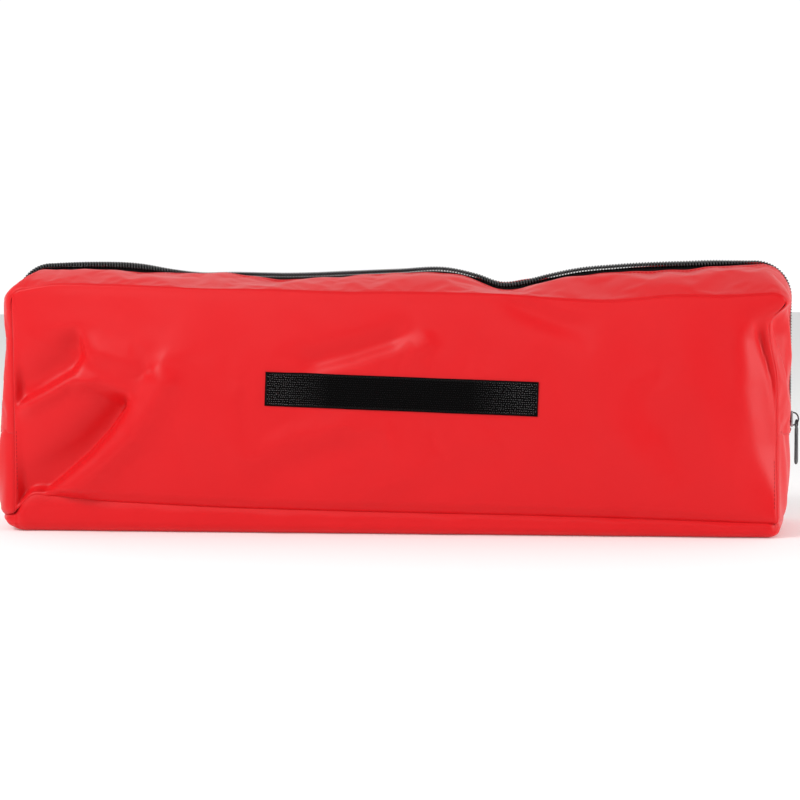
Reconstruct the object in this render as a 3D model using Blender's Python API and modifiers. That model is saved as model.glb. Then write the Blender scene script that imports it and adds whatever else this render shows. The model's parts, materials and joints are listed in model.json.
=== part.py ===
"""Zipped storage bag of coated cloth with a folded fire blanket inside.

The bag stands on its base with its front towards -Y and its length along X. The zip runs over the top
and down the middle of both ends. When it is open, the upper halves of the front and back fold outwards
as two flaps, and the folded blanket is lifted out by its two webbing tapes.
"""

import math

import bmesh
import bpy
from mathutils import Matrix, Vector

# Bag, in metres
LENGTH = 0.592
DEPTH = 0.128
RIDGE_HEIGHT = 0.198
SHOULDER_HEIGHT = 0.178
FOLD_HEIGHT = 0.078
SEAM_HEIGHT_LEFT = 0.024
SEAM_HEIGHT_RIGHT = 0.013
END_BULGE = 0.0106
RIDGE_RADIUS = 0.026
SHOULDER_RADIUS = 0.012
BASE_CURL = 0.008
CLOTH = 0.001
GAP = 0.0003

# Zip
ZIP_HALF_OPENING = 0.006
ZIP_STOP_HEIGHT = 0.0735
ZIP_PART_HEIGHT = 0.096
TAPE_REACH = 0.0145
TAPE_EDGE = 0.0016
TAPE = 0.0006
TAPE_TAIL = 0.012
COIL_EDGE = 0.001
COIL_WIDTH = 0.0022
COIL_HEIGHT = 0.0018
STOP_SIZE = Vector((0.002, 0.007, 0.0022))

# Zip slider, its bridge and its puller tab
SLIDER_LENGTH = 0.012
SLIDER_HALF_WIDTH = 0.004
SLIDER_PLATE = 0.0012
NECK_HALF_WIDTH = 0.0007
NECK_LENGTH = 0.003
BRIDGE_RISE = 0.00385
BRIDGE_HALF_LENGTH = 0.0047
BRIDGE_WIRE_RADIUS = 0.00055
PIVOT_ANGLE = math.radians(135)
TAB_LENGTH = 0.0335
TAB_WIDTH = 0.007
TAB_THICKNESS = 0.001
TAB_SET_BACK = 0.0003
EYE_LENGTH = 0.0036
EYE_WIDTH = 0.0026
EYE_RIM = 0.0009

# Hook strip on the front
STRIP_LENGTH = 0.201
STRIP_HEIGHT = 0.025
STRIP_THICKNESS = 0.002
STRIP_CENTRE_X = 0.0088
STRIP_CENTRE_HEIGHT = 0.103
STRIP_TILT = math.radians(1.75)

# Folded blanket and its pull tapes
BLANKET_LENGTH = 0.533
BLANKET_DEPTH = 0.108
BLANKET_HEIGHT = 0.150
BLANKET_ROUNDING = 0.008
PULL_TAPE_LENGTH = 0.072
PULL_TAPE_WIDTH = 0.025
PULL_TAPE = 0.0016
PULL_TAPE_ROOT = 0.09

FRONT, BACK = -1, 1
LEFT, RIGHT = -1, 1
CLOTH_RED = (0.80, 0.035, 0.04)
ZIP_BLACK = (0.012, 0.012, 0.013)

# Worked out from the sizes above
HALF_LENGTH = LENGTH / 2
HALF_DEPTH = DEPTH / 2
PANEL_HALF_LENGTH = HALF_LENGTH - END_BULGE - CLOTH - GAP
TAPE_DEPTH = CLOTH + GAP
COIL_TOP = COIL_HEIGHT - CLOTH
SLIDER_LOW = ZIP_STOP_HEIGHT + STOP_SIZE.z + 2 * GAP
SLIDER_FACE = HALF_LENGTH + COIL_TOP + GAP + SLIDER_PLATE
BLANKET_LOW = CLOTH + GAP
BLANKET_TOP = BLANKET_LOW + BLANKET_HEIGHT
BAG_CENTRE = Vector((0, 0, RIDGE_HEIGHT / 2))

# An arch is walked from its foot at +X to its foot at -X; these are the shares of the walk.
SIDE_SHARE = 0.1
ARC_SHARE = 0.2
ARCH_STEPS = 30


def clear_scene():
    for obj in list(bpy.data.objects):
        bpy.data.objects.remove(obj, do_unlink=True)


def new_collection(name):
    collection = bpy.data.collections.new(name)
    bpy.context.scene.collection.children.link(collection)
    return collection


def add_object(name, data, collection):
    obj = bpy.data.objects.new(name, data)
    collection.objects.link(obj)
    return obj


def finish(obj, colour, roughness, metallic=0.0):
    """Give the object a material of its own."""
    material = bpy.data.materials.new(obj.name)
    material.use_nodes = True
    shader = material.node_tree.nodes["Principled BSDF"]
    shader.inputs["Base Color"].default_value = (*colour, 1.0)
    shader.inputs["Roughness"].default_value = roughness
    shader.inputs["Metallic"].default_value = metallic
    obj.data.materials.append(material)
    return obj


def box(name, low, high, collection):
    """A block between two corners, with its origin at its centre."""
    low = Vector(low)
    high = Vector(high)
    bm = bmesh.new()
    bmesh.ops.create_cube(bm, size=1, matrix=Matrix.Diagonal((*(high - low), 1)))
    mesh = bpy.data.meshes.new(name)
    bm.to_mesh(mesh)
    bm.free()
    obj = add_object(name, mesh, collection)
    obj.location = (low + high) / 2
    return obj


def helper_box(name, low, high):
    """A block that only cuts or joins: it isn't part of the object."""
    obj = box(name, low, high, helpers)
    obj.hide_render = True
    obj.display_type = "WIRE"
    return obj


def combine(obj, other, operation):
    modifier = obj.modifiers.new(other.name, "BOOLEAN")
    modifier.operation = operation
    modifier.object = other


def round_edges(obj, radius, segments):
    modifier = obj.modifiers.new("rounding", "BEVEL")
    modifier.width = radius
    modifier.segments = segments


def sheet(name, place, steps, thickness):
    """Bend a flat grid with place(u, v) and thicken it towards the inside of the bag."""
    bm = bmesh.new()
    bmesh.ops.create_grid(bm, x_segments=steps[0], y_segments=steps[1], size=0.5)
    for vert in bm.verts:
        vert.co = place(vert.co.x + 0.5, vert.co.y + 0.5)
    bm.normal_update()
    outward = sum(f.calc_area() * f.normal.dot(f.calc_center_median() - BAG_CENTRE) for f in bm.faces)
    if outward < 0:
        bmesh.ops.reverse_faces(bm, faces=bm.faces)
    mesh = bpy.data.meshes.new(name)
    bm.to_mesh(mesh)
    bm.free()
    mesh.shade_smooth()
    obj = add_object(name, mesh, bag)
    wall = obj.modifiers.new("wall", "SOLIDIFY")
    wall.thickness = thickness
    wall.offset = -1
    return obj


def carry(name, location, pieces):
    """Hang pieces on an empty that stands on their joint's axis."""
    pivot = add_object(name, None, bag)
    pivot.location = location
    pivot.empty_display_size = 0.02
    bpy.context.view_layer.update()
    for piece in pieces:
        piece.parent = pivot
        piece.matrix_parent_inverse = pivot.matrix_world.inverted()


def seam_height(x):
    """The bottom seam drops evenly from the left end to the right end."""
    share = (x + HALF_LENGTH) / LENGTH
    return SEAM_HEIGHT_LEFT + (SEAM_HEIGHT_RIGHT - SEAM_HEIGHT_LEFT) * share


def crown(y):
    """How far the cloth has risen from a panel's seam (0) to the zip line (1)."""
    return math.cos(math.pi / 2 * min(1.0, abs(y) / HALF_DEPTH))


def arch(u, half, top, radius):
    """Point and outward direction on an arch with straight sides, round corners and a flat top."""
    walk = min(u, 1 - u)
    sign = 1 if u <= 0.5 else -1
    low = ZIP_PART_HEIGHT + GAP
    if walk < SIDE_SHARE:
        point = Vector((half, 0, low + (top - radius - low) * walk / SIDE_SHARE))
        direction = Vector((1, 0, 0))
    elif walk < SIDE_SHARE + ARC_SHARE:
        angle = math.pi / 2 * (walk - SIDE_SHARE) / ARC_SHARE
        direction = Vector((math.cos(angle), 0, math.sin(angle)))
        point = Vector((half - radius, 0, top - radius)) + radius * direction
    else:
        share = (walk - SIDE_SHARE - ARC_SHARE) / (0.5 - SIDE_SHARE - ARC_SHARE)
        point = Vector(((half - radius) * (1 - share), 0, top))
        direction = Vector((0, 0, 1))
    mirror = Matrix.Diagonal((sign, 1, 1))
    return mirror @ point, mirror @ direction


def arched_point(u, y, depth):
    """Point at y on the cloth between a panel's edge and the zip line, sunk by depth."""
    ridge, outward = arch(u, HALF_LENGTH, RIDGE_HEIGHT, RIDGE_RADIUS)
    seam, _ = arch(u, HALF_LENGTH - END_BULGE, SHOULDER_HEIGHT, SHOULDER_RADIUS)
    point = seam.lerp(ridge, crown(y)) - depth * outward
    point.y = y
    return point


def arched_strip(name, side, reach, edge, depth, thickness, steps_across):
    """A strip of the flap that follows the zip line, from y = reach to y = edge."""

    def place(u, v):
        return arched_point(u, side * (reach + (edge - reach) * v), depth)

    return sheet(name, place, (ARCH_STEPS, steps_across), thickness)


def end_point(side, y, z, depth):
    """Point on the end of the bag below the flaps."""
    x = HALF_LENGTH - END_BULGE * (1 - crown(y)) - depth
    return Vector((side * x, y, z))


def make_base():
    """The flat base, whose edges curl up to the bottom seam all round."""
    curl_width = SEAM_HEIGHT_LEFT + BASE_CURL
    flat_x = PANEL_HALF_LENGTH - BASE_CURL
    flat_y = HALF_DEPTH - BASE_CURL

    def place(u, v):
        reach_x = (2 * u - 1) * (flat_x + curl_width)
        reach_y = (2 * v - 1) * (flat_y + curl_width)
        over_x = max(abs(reach_x) - flat_x, 0)
        over_y = max(abs(reach_y) - flat_y, 0)
        climb = max(over_x, over_y) / curl_width
        turn = math.atan2(over_y, over_x)
        spread = BASE_CURL * math.sin(min(1.0, 2 * climb) * math.pi / 2)
        x = math.copysign(min(abs(reach_x), flat_x) + spread * math.cos(turn) * (over_x > 0), reach_x)
        y = math.copysign(min(abs(reach_y), flat_y) + spread * math.sin(turn) * (over_y > 0), reach_y)
        x += math.copysign(END_BULGE, x) * crown(y) * climb * (over_x > 0)
        rim = seam_height(x) - GAP
        return Vector((x, y, rim * (1 - math.cos(climb * math.pi / 2))))

    obj = sheet("base_panel", place, (40, 24), CLOTH)
    return finish(obj, CLOTH_RED, 0.45)


def make_lower_panel(name, side):
    """Front or back panel below the fold line."""

    def place(u, v):
        x = (2 * u - 1) * PANEL_HALF_LENGTH
        low = seam_height(x)
        return Vector((x, side * HALF_DEPTH, low + (FOLD_HEIGHT - GAP / 2 - low) * v))

    return finish(sheet(name, place, (8, 2), CLOTH), CLOTH_RED, 0.45)


def make_upper_panel(name, side):
    """Front or back panel above the fold line, as a flat outline with two round corners."""
    inset = CLOTH + GAP
    half = PANEL_HALF_LENGTH
    top = SHOULDER_HEIGHT - inset
    radius = SHOULDER_RADIUS - inset
    corner_steps = 6
    outline = [(half, FOLD_HEIGHT + GAP / 2)]
    for step in range(corner_steps + 1):
        angle = math.pi / 2 * step / corner_steps
        outline.append((half - radius * (1 - math.cos(angle)), top - radius * (1 - math.sin(angle))))
    outline += [(-x, z) for x, z in reversed(outline)]
    curve = bpy.data.curves.new(name, "CURVE")
    curve.dimensions = "2D"
    curve.fill_mode = "BOTH"
    curve.extrude = CLOTH / 2
    spline = curve.splines.new("POLY")
    spline.points.add(len(outline) - 1)
    for point, (x, z) in zip(spline.points, outline):
        point.co = (x, z, 0, 1)
    spline.use_cyclic_u = True
    obj = add_object(name, curve, bag)
    obj.rotation_euler.x = math.pi / 2
    obj.location.y = side * (HALF_DEPTH - CLOTH / 2)
    return finish(obj, CLOTH_RED, 0.45)


def make_end_panel(name, side):
    """End of the bag, open at the middle above the zip's lower end."""

    def place(u, v):
        y = (2 * v - 1) * HALF_DEPTH
        low = seam_height(side * HALF_LENGTH)
        return end_point(side, y, low + (ZIP_PART_HEIGHT - low) * u, 0)

    obj = sheet(name, place, (4, 16), CLOTH)
    low = (side * HALF_LENGTH - 0.02, -ZIP_HALF_OPENING, ZIP_STOP_HEIGHT - ZIP_HALF_OPENING)
    high = (side * HALF_LENGTH + 0.02, ZIP_HALF_OPENING, ZIP_PART_HEIGHT + 0.02)
    combine(obj, helper_box(name + "_slot", low, high), "DIFFERENCE")
    return finish(obj, CLOTH_RED, 0.45)


def make_zip_end(name, side):
    """The zip's lowest stretch: tape with a slit for the slider's neck, and the two coils' ends."""
    tape_low = ZIP_STOP_HEIGHT - TAPE_TAIL
    coil_low = ZIP_STOP_HEIGHT + STOP_SIZE.z + GAP

    def place(u, v):
        z = tape_low + (ZIP_PART_HEIGHT - tape_low) * u
        return end_point(side, (2 * v - 1) * TAPE_REACH, z, TAPE_DEPTH)

    obj = sheet(name, place, (2, 6), TAPE)
    middle = side * HALF_LENGTH
    slit_low = (middle - 0.02, -TAPE_EDGE, coil_low)
    slit_high = (middle + 0.02, TAPE_EDGE, ZIP_PART_HEIGHT + 0.02)
    combine(obj, helper_box(name + "_slit", slit_low, slit_high), "DIFFERENCE")
    for row in (FRONT, BACK):
        inner = middle - side * (TAPE_DEPTH + TAPE / 2)
        outer = middle + side * COIL_TOP
        edges = sorted((row * COIL_EDGE, row * (COIL_EDGE + COIL_WIDTH)))
        low = (min(inner, outer), edges[0], coil_low)
        high = (max(inner, outer), edges[1], ZIP_PART_HEIGHT)
        combine(obj, helper_box(f"{name}_coil_{row}", low, high), "UNION")
    return finish(obj, ZIP_BLACK, 0.6)


def make_zip_stop(name, side):
    """The bar that closes the end of the coils."""
    centre = Vector((side * (HALF_LENGTH - TAPE_DEPTH + GAP + STOP_SIZE.x / 2), 0, 0))
    centre.z = ZIP_STOP_HEIGHT + STOP_SIZE.z / 2
    obj = box(name, centre - STOP_SIZE / 2, centre + STOP_SIZE / 2, bag)
    round_edges(obj, 0.0004, 2)
    return finish(obj, ZIP_BLACK, 0.4)


def make_flap(word, side):
    """One flap: panel, gusset, zip tape and coil, hung on its fold line."""
    gusset = arched_strip("gusset_" + word, side, HALF_DEPTH, ZIP_HALF_OPENING, 0, CLOTH, 8)
    tape = arched_strip("zip_tape_" + word, side, TAPE_REACH, TAPE_EDGE, TAPE_DEPTH, TAPE, 2)
    outer = COIL_EDGE + COIL_WIDTH
    coil = arched_strip("zip_coil_" + word, side, outer, COIL_EDGE, -COIL_TOP, COIL_HEIGHT, 1)
    pieces = [
        make_upper_panel(f"{word}_panel_upper", side),
        finish(gusset, CLOTH_RED, 0.45),
        finish(tape, ZIP_BLACK, 0.7),
        finish(coil, ZIP_BLACK, 0.35),
    ]
    if side == FRONT:
        pieces.append(make_hook_strip())
    carry(word + "_fold", (0, side * HALF_DEPTH, FOLD_HEIGHT), pieces)


def make_hook_strip():
    half = Vector((STRIP_LENGTH, STRIP_THICKNESS, STRIP_HEIGHT)) / 2
    obj = box("hook_strip", -half, half, bag)
    obj.location = (STRIP_CENTRE_X, -HALF_DEPTH - GAP - half.y, STRIP_CENTRE_HEIGHT)
    obj.rotation_euler.y = STRIP_TILT
    return finish(obj, ZIP_BLACK, 0.8)


def make_slider():
    """Two plates over and under the tape, joined by a neck that runs between the coils."""
    outer_low = SLIDER_FACE - SLIDER_PLATE
    inner_high = HALF_LENGTH - TAPE_DEPTH - TAPE - GAP
    inner_low = inner_high - SLIDER_PLATE
    width = SLIDER_HALF_WIDTH
    top = SLIDER_LOW + SLIDER_LENGTH
    obj = box("slider_body", (outer_low, -width, SLIDER_LOW), (SLIDER_FACE, width, top), bag)
    under = helper_box("slider_under", (inner_low, -width, SLIDER_LOW), (inner_high, width, top))
    neck_low = (inner_low + SLIDER_PLATE / 2, -NECK_HALF_WIDTH, SLIDER_LOW + NECK_LENGTH / 2)
    neck_high = (SLIDER_FACE - SLIDER_PLATE / 2, NECK_HALF_WIDTH, SLIDER_LOW + 1.5 * NECK_LENGTH)
    combine(obj, helper_box("slider_neck", neck_low, neck_high), "UNION")
    combine(obj, under, "UNION")
    return finish(obj, (0.36, 0.36, 0.37), 0.3, 1.0)


def bridge_point(angle):
    """Centre line of the bridge: half an ellipse that stands on the slider's face."""
    middle = SLIDER_LOW + SLIDER_LENGTH / 2
    foot = SLIDER_FACE + GAP
    return Vector((foot + BRIDGE_RISE * math.sin(angle), 0, middle + BRIDGE_HALF_LENGTH * math.cos(angle)))


def make_bridge():
    steps = 14
    curve = bpy.data.curves.new("slider_bridge", "CURVE")
    curve.dimensions = "3D"
    curve.bevel_depth = BRIDGE_WIRE_RADIUS
    curve.bevel_resolution = 2
    curve.use_fill_caps = True
    spline = curve.splines.new("POLY")
    spline.points.add(steps)
    for step, point in enumerate(spline.points):
        point.co = (*bridge_point(math.pi * step / steps), 1)
    return finish(add_object("slider_bridge", curve, bag), (0.03, 0.03, 0.032), 0.3, 1.0)


def make_puller_tab():
    """Flat tab that hangs on the bridge by its eye."""
    pivot = bridge_point(PIVOT_ANGLE)
    back = pivot.x - TAB_SET_BACK - TAB_THICKNESS / 2
    front = back + TAB_THICKNESS
    top = pivot.z + EYE_LENGTH / 2 + EYE_RIM
    half = TAB_WIDTH / 2
    obj = box("puller_tab", (back, -half, top - TAB_LENGTH), (front, half, top), bag)
    low = (back - 0.002, -EYE_WIDTH / 2, pivot.z - EYE_LENGTH / 2)
    high = (front + 0.002, EYE_WIDTH / 2, pivot.z + EYE_LENGTH / 2)
    combine(obj, helper_box("tab_eye", low, high), "DIFFERENCE")
    return finish(obj, (0.20, 0.20, 0.21), 0.3, 1.0)


def make_blanket():
    half_x = BLANKET_LENGTH / 2
    half_y = BLANKET_DEPTH / 2
    obj = box("blanket_pack", (-half_x, -half_y, BLANKET_LOW), (half_x, half_y, BLANKET_TOP), bag)
    round_edges(obj, BLANKET_ROUNDING, 3)
    return finish(obj, (0.42, 0.40, 0.37), 0.9)


def make_pull_tape(name, side):
    """Webbing tape that lies on the folded blanket and lifts about its sewn end."""
    root = side * PULL_TAPE_ROOT
    tip = side * (PULL_TAPE_ROOT + PULL_TAPE_LENGTH)
    half = PULL_TAPE_WIDTH / 2
    low = (min(root, tip), -half, BLANKET_TOP + GAP)
    high = (max(root, tip), half, BLANKET_TOP + GAP + PULL_TAPE)
    obj = box(name, low, high, bag)
    carry(name + "_root", (root, 0, BLANKET_TOP + GAP), [obj])
    return finish(obj, (0.05, 0.05, 0.055), 0.8)


clear_scene()
bag = new_collection("fire_blanket_bag")
helpers = new_collection("helpers")

make_base()
for word, side in (("front", FRONT), ("back", BACK)):
    make_lower_panel(word + "_panel_lower", side)
    make_flap(word, side)
for word, side in (("left", LEFT), ("right", RIGHT)):
    make_end_panel(word + "_end_panel", side)
    make_zip_end("zip_end_" + word, side)
    make_zip_stop("zip_stop_" + word, side)
    make_pull_tape("pull_tape_" + word, side)
make_blanket()
slider_pieces = [make_slider(), make_bridge()]
carry("slider_run", (HALF_LENGTH, 0, SLIDER_LOW), slider_pieces)
carry("tab_pivot", bridge_point(PIVOT_ANGLE), [make_puller_tab()])
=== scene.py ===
# %% [markdown]
# # A zipped bag of red coated nylon with a folded fire blanket inside
#
# The bag stands on its base and is packed full, so its cloth is neither flat nor round: it swells
# a little between the seams, sags where nothing fills it, and keeps the creases of its storage.
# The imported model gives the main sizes. Each piece below is a surface worked out with numpy, and
# the front, back and gusset cloth is then settled by a short cloth simulation.

# %% Load the frame
import json
import math

import bpy
import numpy as np
from mathutils import Euler, Matrix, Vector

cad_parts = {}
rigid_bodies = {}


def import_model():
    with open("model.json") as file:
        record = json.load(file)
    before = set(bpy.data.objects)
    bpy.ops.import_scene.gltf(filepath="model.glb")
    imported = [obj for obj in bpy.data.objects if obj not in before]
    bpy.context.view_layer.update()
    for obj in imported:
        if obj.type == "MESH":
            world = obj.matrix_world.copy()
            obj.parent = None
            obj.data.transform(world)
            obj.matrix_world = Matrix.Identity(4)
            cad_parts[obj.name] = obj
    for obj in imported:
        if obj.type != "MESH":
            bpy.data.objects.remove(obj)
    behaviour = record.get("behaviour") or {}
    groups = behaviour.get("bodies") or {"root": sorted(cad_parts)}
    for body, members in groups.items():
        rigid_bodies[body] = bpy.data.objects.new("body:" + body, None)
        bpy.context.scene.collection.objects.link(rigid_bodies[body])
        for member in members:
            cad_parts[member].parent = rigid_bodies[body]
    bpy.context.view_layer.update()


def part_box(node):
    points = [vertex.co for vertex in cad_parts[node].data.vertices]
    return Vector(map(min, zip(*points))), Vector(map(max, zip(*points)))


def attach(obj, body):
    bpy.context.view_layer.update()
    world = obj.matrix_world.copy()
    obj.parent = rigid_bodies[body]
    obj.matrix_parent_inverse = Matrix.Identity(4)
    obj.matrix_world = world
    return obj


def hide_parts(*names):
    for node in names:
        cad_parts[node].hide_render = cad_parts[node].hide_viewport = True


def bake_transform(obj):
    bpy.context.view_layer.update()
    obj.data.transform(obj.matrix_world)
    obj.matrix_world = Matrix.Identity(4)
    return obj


for leftover in list(bpy.data.objects):
    bpy.data.objects.remove(leftover, do_unlink=True)
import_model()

# %% [markdown]
# ## Sizes from the frame
#
# A bag is described by two lines: the zip line, which runs up one end, over the top and down the
# other end, and the seam line beside it, where the gusset meets the front or back panel. How far
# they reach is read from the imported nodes, so nothing has to be fitted afterwards.

# %% Sizes
MM = 0.001
panel_low, panel_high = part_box("front_panel_upper")
gusset_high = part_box("gusset_front")[1]
HALF_DEPTH = -panel_low.y
SEAM_HALF = panel_high.x + 0.6 * MM
SHOULDER = panel_high.z + 1.3 * MM
RIDGE_HALF = gusset_high.x
RIDGE = gusset_high.z
RIDGE_RADIUS = 26 * MM
SHOULDER_RADIUS = 12 * MM
ZIP_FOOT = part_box("zip_stop_right")[0].z
TAPE_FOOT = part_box("zip_end_right")[0].z
ZIP_EDGE = 6 * MM
CLOTH = 0.5 * MM
rng = np.random.default_rng(7)
print("half length", round(RIDGE_HALF, 4), "half depth", round(HALF_DEPTH, 4))
print("ridge at", round(RIDGE, 4), "shoulder at", round(SHOULDER, 4))

# %% [markdown]
# ## Small tools
#
# Soft outlines need smooth curves through a few chosen points, so `through` fits cubic pieces to
# them. `fold_line` gives the profile of a crease along a line: a valley or a ridge that fades out
# sideways and at both ends. `surface` turns a grid of points into a mesh with its UV map in
# metres along the cloth, so that a weave has the same size on every piece.


# %% Curves and folds
def through(x, knots):
    """Smooth height at x: cubic pieces between the knots (x, height), with the slope of the
    neighbours' chord at each knot."""
    at, height = np.array(knots, float).T
    slope = np.gradient(height, at)
    i = np.clip(np.searchsorted(at, x) - 1, 0, len(at) - 2)
    wide = at[i + 1] - at[i]
    t = np.clip((x - at[i]) / wide, 0, 1)
    start = (1 + 2 * t) * (1 - t) ** 2 * height[i] + t * (1 - t) ** 2 * wide * slope[i]
    return start + t * t * (3 - 2 * t) * height[i + 1] + t * t * (t - 1) * wide * slope[i + 1]


def ease(value, low, high):
    """0 below low, 1 above high, and a smooth step between."""
    t = np.clip((value - low) / (high - low), 0, 1)
    return t * t * (3 - 2 * t)


def fold_line(x, z, path, width, fade=0.25, steep=None, power=2.0):
    """1 on the line through the points of path and less away from it, as a bell of that width.
    The first and last share `fade` of the line's length rise from 0 and fall back to 0. With steep
    given, the right hand side of the line, walking along it, has that width instead. A power near 1
    makes the line a sharp crease in place of a round one."""
    path = np.array(path, float) * MM
    width = width * MM
    turned = np.zeros(np.shape(x))
    step = np.linalg.norm(np.diff(path, axis=0), axis=1)
    reached = np.concatenate([[0], np.cumsum(step)])
    best = np.full(np.shape(x), 1e9)
    along = np.zeros(np.shape(x))
    for i, length in enumerate(step):
        side = (path[i + 1] - path[i]) / length
        t = np.clip((x - path[i, 0]) * side[0] + (z - path[i, 1]) * side[1], 0, length)
        away = np.hypot(x - path[i, 0] - t * side[0], z - path[i, 1] - t * side[1])
        closer = away < best
        best = np.where(closer, away, best)
        along = np.where(closer, reached[i] + t, along)
        turned = np.where(closer, (z - path[i, 1]) * side[0] - (x - path[i, 0]) * side[1], turned)
    share = along / reached[-1]
    if steep:
        width = np.where(turned < 0, steep * MM, width)
    ends = ease(share, 0, fade) * (1 - ease(share, 1 - fade, 1)) if fade else 1.0
    return np.exp(-(best / width) ** power) * ends


def ripples(x, waves, seed):
    """Uneven waves between about -1 and 1: a mean of sines with the wavelengths given in mm and
    seeded phases."""
    phases = np.random.default_rng(seed).uniform(0, 2 * np.pi, len(waves))
    return sum(np.sin(2 * np.pi * x / (wave * MM) + p) for wave, p in zip(waves, phases)) / len(waves)


# %% [markdown]
# A mesh from a grid: point (i, j) is joined to its neighbours with four-sided faces. Where the
# grid closes on itself, as round a tube, the last row is joined to the first.


# %% Grids to meshes
def grid_faces(rows, columns, wrap_rows=False, wrap_columns=False):
    """Corner numbers of the quads between neighbouring points of a rows x columns grid."""
    i = np.arange(rows if wrap_rows else rows - 1)
    j = np.arange(columns if wrap_columns else columns - 1)
    i, j = (a.ravel() for a in np.meshgrid(i, j, indexing="ij"))
    near, far = i, (i + 1) % rows
    left, right = j, (j + 1) % columns
    return np.stack([near * columns + left, far * columns + left,
                     far * columns + right, near * columns + right], axis=1), i, j


def make_object(name, points, faces, corner_uv=None):
    """A smooth shaded mesh object with its place in its mesh."""
    mesh = bpy.data.meshes.new(name)
    mesh.from_pydata(points.reshape(-1, 3), [], faces)
    if corner_uv is not None:
        layer = mesh.uv_layers.new(name="cloth")
        layer.data.foreach_set("uv", corner_uv.astype(np.float32).ravel())
    mesh.shade_smooth()
    obj = bpy.data.objects.new(name, mesh)
    bpy.context.scene.collection.objects.link(obj)
    return obj


def lengths_along(points, axis):
    """Distance walked along the middle row or column of a grid, in metres."""
    middle = points.shape[1 - axis] // 2
    line = points[:, middle] if axis == 0 else points[middle]
    return np.concatenate([[0], np.cumsum(np.linalg.norm(np.diff(line, axis=0), axis=1))])


def surface(name, points, wrap_rows=False, wrap_columns=False, flip=False):
    """A grid of points as an object, with a UV map that holds metres along the cloth."""
    rows, columns = points.shape[:2]
    faces, i, j = grid_faces(rows, columns, wrap_rows, wrap_columns)
    u = lengths_along(points, 0)
    v = lengths_along(points, 1)
    u = np.append(u, u[-1] + (u[-1] - u[-2]))
    v = np.append(v, v[-1] + (v[-1] - v[-2]))
    corner = np.stack([np.stack([u[i], v[j]], 1), np.stack([u[i + 1], v[j]], 1),
                       np.stack([u[i + 1], v[j + 1]], 1), np.stack([u[i], v[j + 1]], 1)], axis=1)
    if flip:
        faces = faces[:, ::-1]
        corner = corner[:, ::-1]
    return make_object(name, points, faces, corner)


def thicken(obj, thickness):
    """Give a sheet its thickness on its inner side."""
    wall = obj.modifiers.new("wall", "SOLIDIFY")
    wall.thickness = thickness
    wall.offset = -1
    return obj


def unit(vectors):
    """The same directions with length 1."""
    return vectors / np.maximum(np.linalg.norm(vectors, axis=-1, keepdims=True), 1e-12)


def grid_normals(points):
    """Direction square to the grid at each point: the cross product of its two slopes."""
    along = np.gradient(points, axis=0)
    across = np.gradient(points, axis=1)
    return unit(np.cross(along, across))


# %% [markdown]
# ## Finishes
#
# Each finish is a set of shader nodes. Fine structure such as a weave is a height that only bends
# the light (bump), while every shape that can be seen from the side is real geometry. Patterns
# follow the cloth's own UV map, so they bend with it.


# %% Node helpers
def new_finish(name, colour, roughness, **sockets):
    """A Principled material with plain numbers set on the shader's own sockets."""
    material = bpy.data.materials.new(name)
    material.use_nodes = True
    shader = material.node_tree.nodes["Principled BSDF"]
    shader.inputs["Base Color"].default_value = (*colour, 1)
    shader.inputs["Roughness"].default_value = roughness
    for socket, value in sockets.items():
        shader.inputs[socket.replace("_", " ")].default_value = value
    return material


def node(material, kind, settings=None, **inputs):
    """One shader node; an input is a number or another node's output."""
    made = material.node_tree.nodes.new("ShaderNode" + kind)
    for key, value in (settings or {}).items():
        setattr(made, key, value)
    for key, value in inputs.items():
        socket = made.inputs[int(key[1:])] if key[0] == "i" and key[1:].isdigit() else made.inputs[key]
        if isinstance(value, bpy.types.NodeSocket):
            material.node_tree.links.new(value, socket)
        else:
            socket.default_value = value
    return made


def cloth_map(material):
    """The piece's own UV map, in metres."""
    return node(material, "UVMap", {"uv_map": "cloth"}).outputs["UV"]


def object_map(material):
    return node(material, "TexCoord").outputs["Object"]


def noise(material, where, scale, detail=2.0, rough=0.5):
    made = node(material, "TexNoise", Vector=where, Scale=scale, Detail=detail, Roughness=rough)
    return made.outputs["Fac"]


def bands(material, where, direction, threads):
    """A sine wave along X or Y with that many waves a metre, from 0 to 1. The wave node counts 20
    radians a metre at scale 1."""
    settings = {"wave_type": "BANDS", "bands_direction": direction, "wave_profile": "SIN"}
    scale = threads / 20 * 2 * math.pi
    return node(material, "TexWave", settings, Vector=where, Scale=scale).outputs["Fac"]


def calculate(material, operation, a, b):
    return node(material, "Math", {"operation": operation}, i0=a, i1=b).outputs["Value"]


def weighted(material, first, share, second):
    """first * share + second * (1 - share)."""
    most = calculate(material, "MULTIPLY", first, share)
    rest = calculate(material, "MULTIPLY", second, 1 - share)
    return calculate(material, "ADD", most, rest)


def remap(material, value, low, high, start=0.0, end=1.0):
    """Stretch a value from start..end to low..high."""
    ends = {"Value": value, "From Min": start, "From Max": end, "To Min": low, "To Max": high}
    return node(material, "MapRange", **ends).outputs["Result"]


def tint(material, factor, first, second):
    """A colour between two, by the factor."""
    mix = node(material, "Mix", {"data_type": "RGBA"}, i0=factor, i6=(*first, 1), i7=(*second, 1))
    return mix.outputs[2]


def plug(material, socket, value):
    shader = material.node_tree.nodes["Principled BSDF"]
    material.node_tree.links.new(value, shader.inputs[socket])


def bump(material, *layers):
    """Stack heights on the shader's normal. Each layer is (height, distance in metres, strength)."""
    normal = None
    for height, distance, strength in layers:
        made = node(material, "Bump", Height=height, Distance=distance, Strength=strength)
        if normal is not None:
            material.node_tree.links.new(normal, made.inputs["Normal"])
        normal = made.outputs["Normal"]
    plug(material, "Normal", normal)


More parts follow.
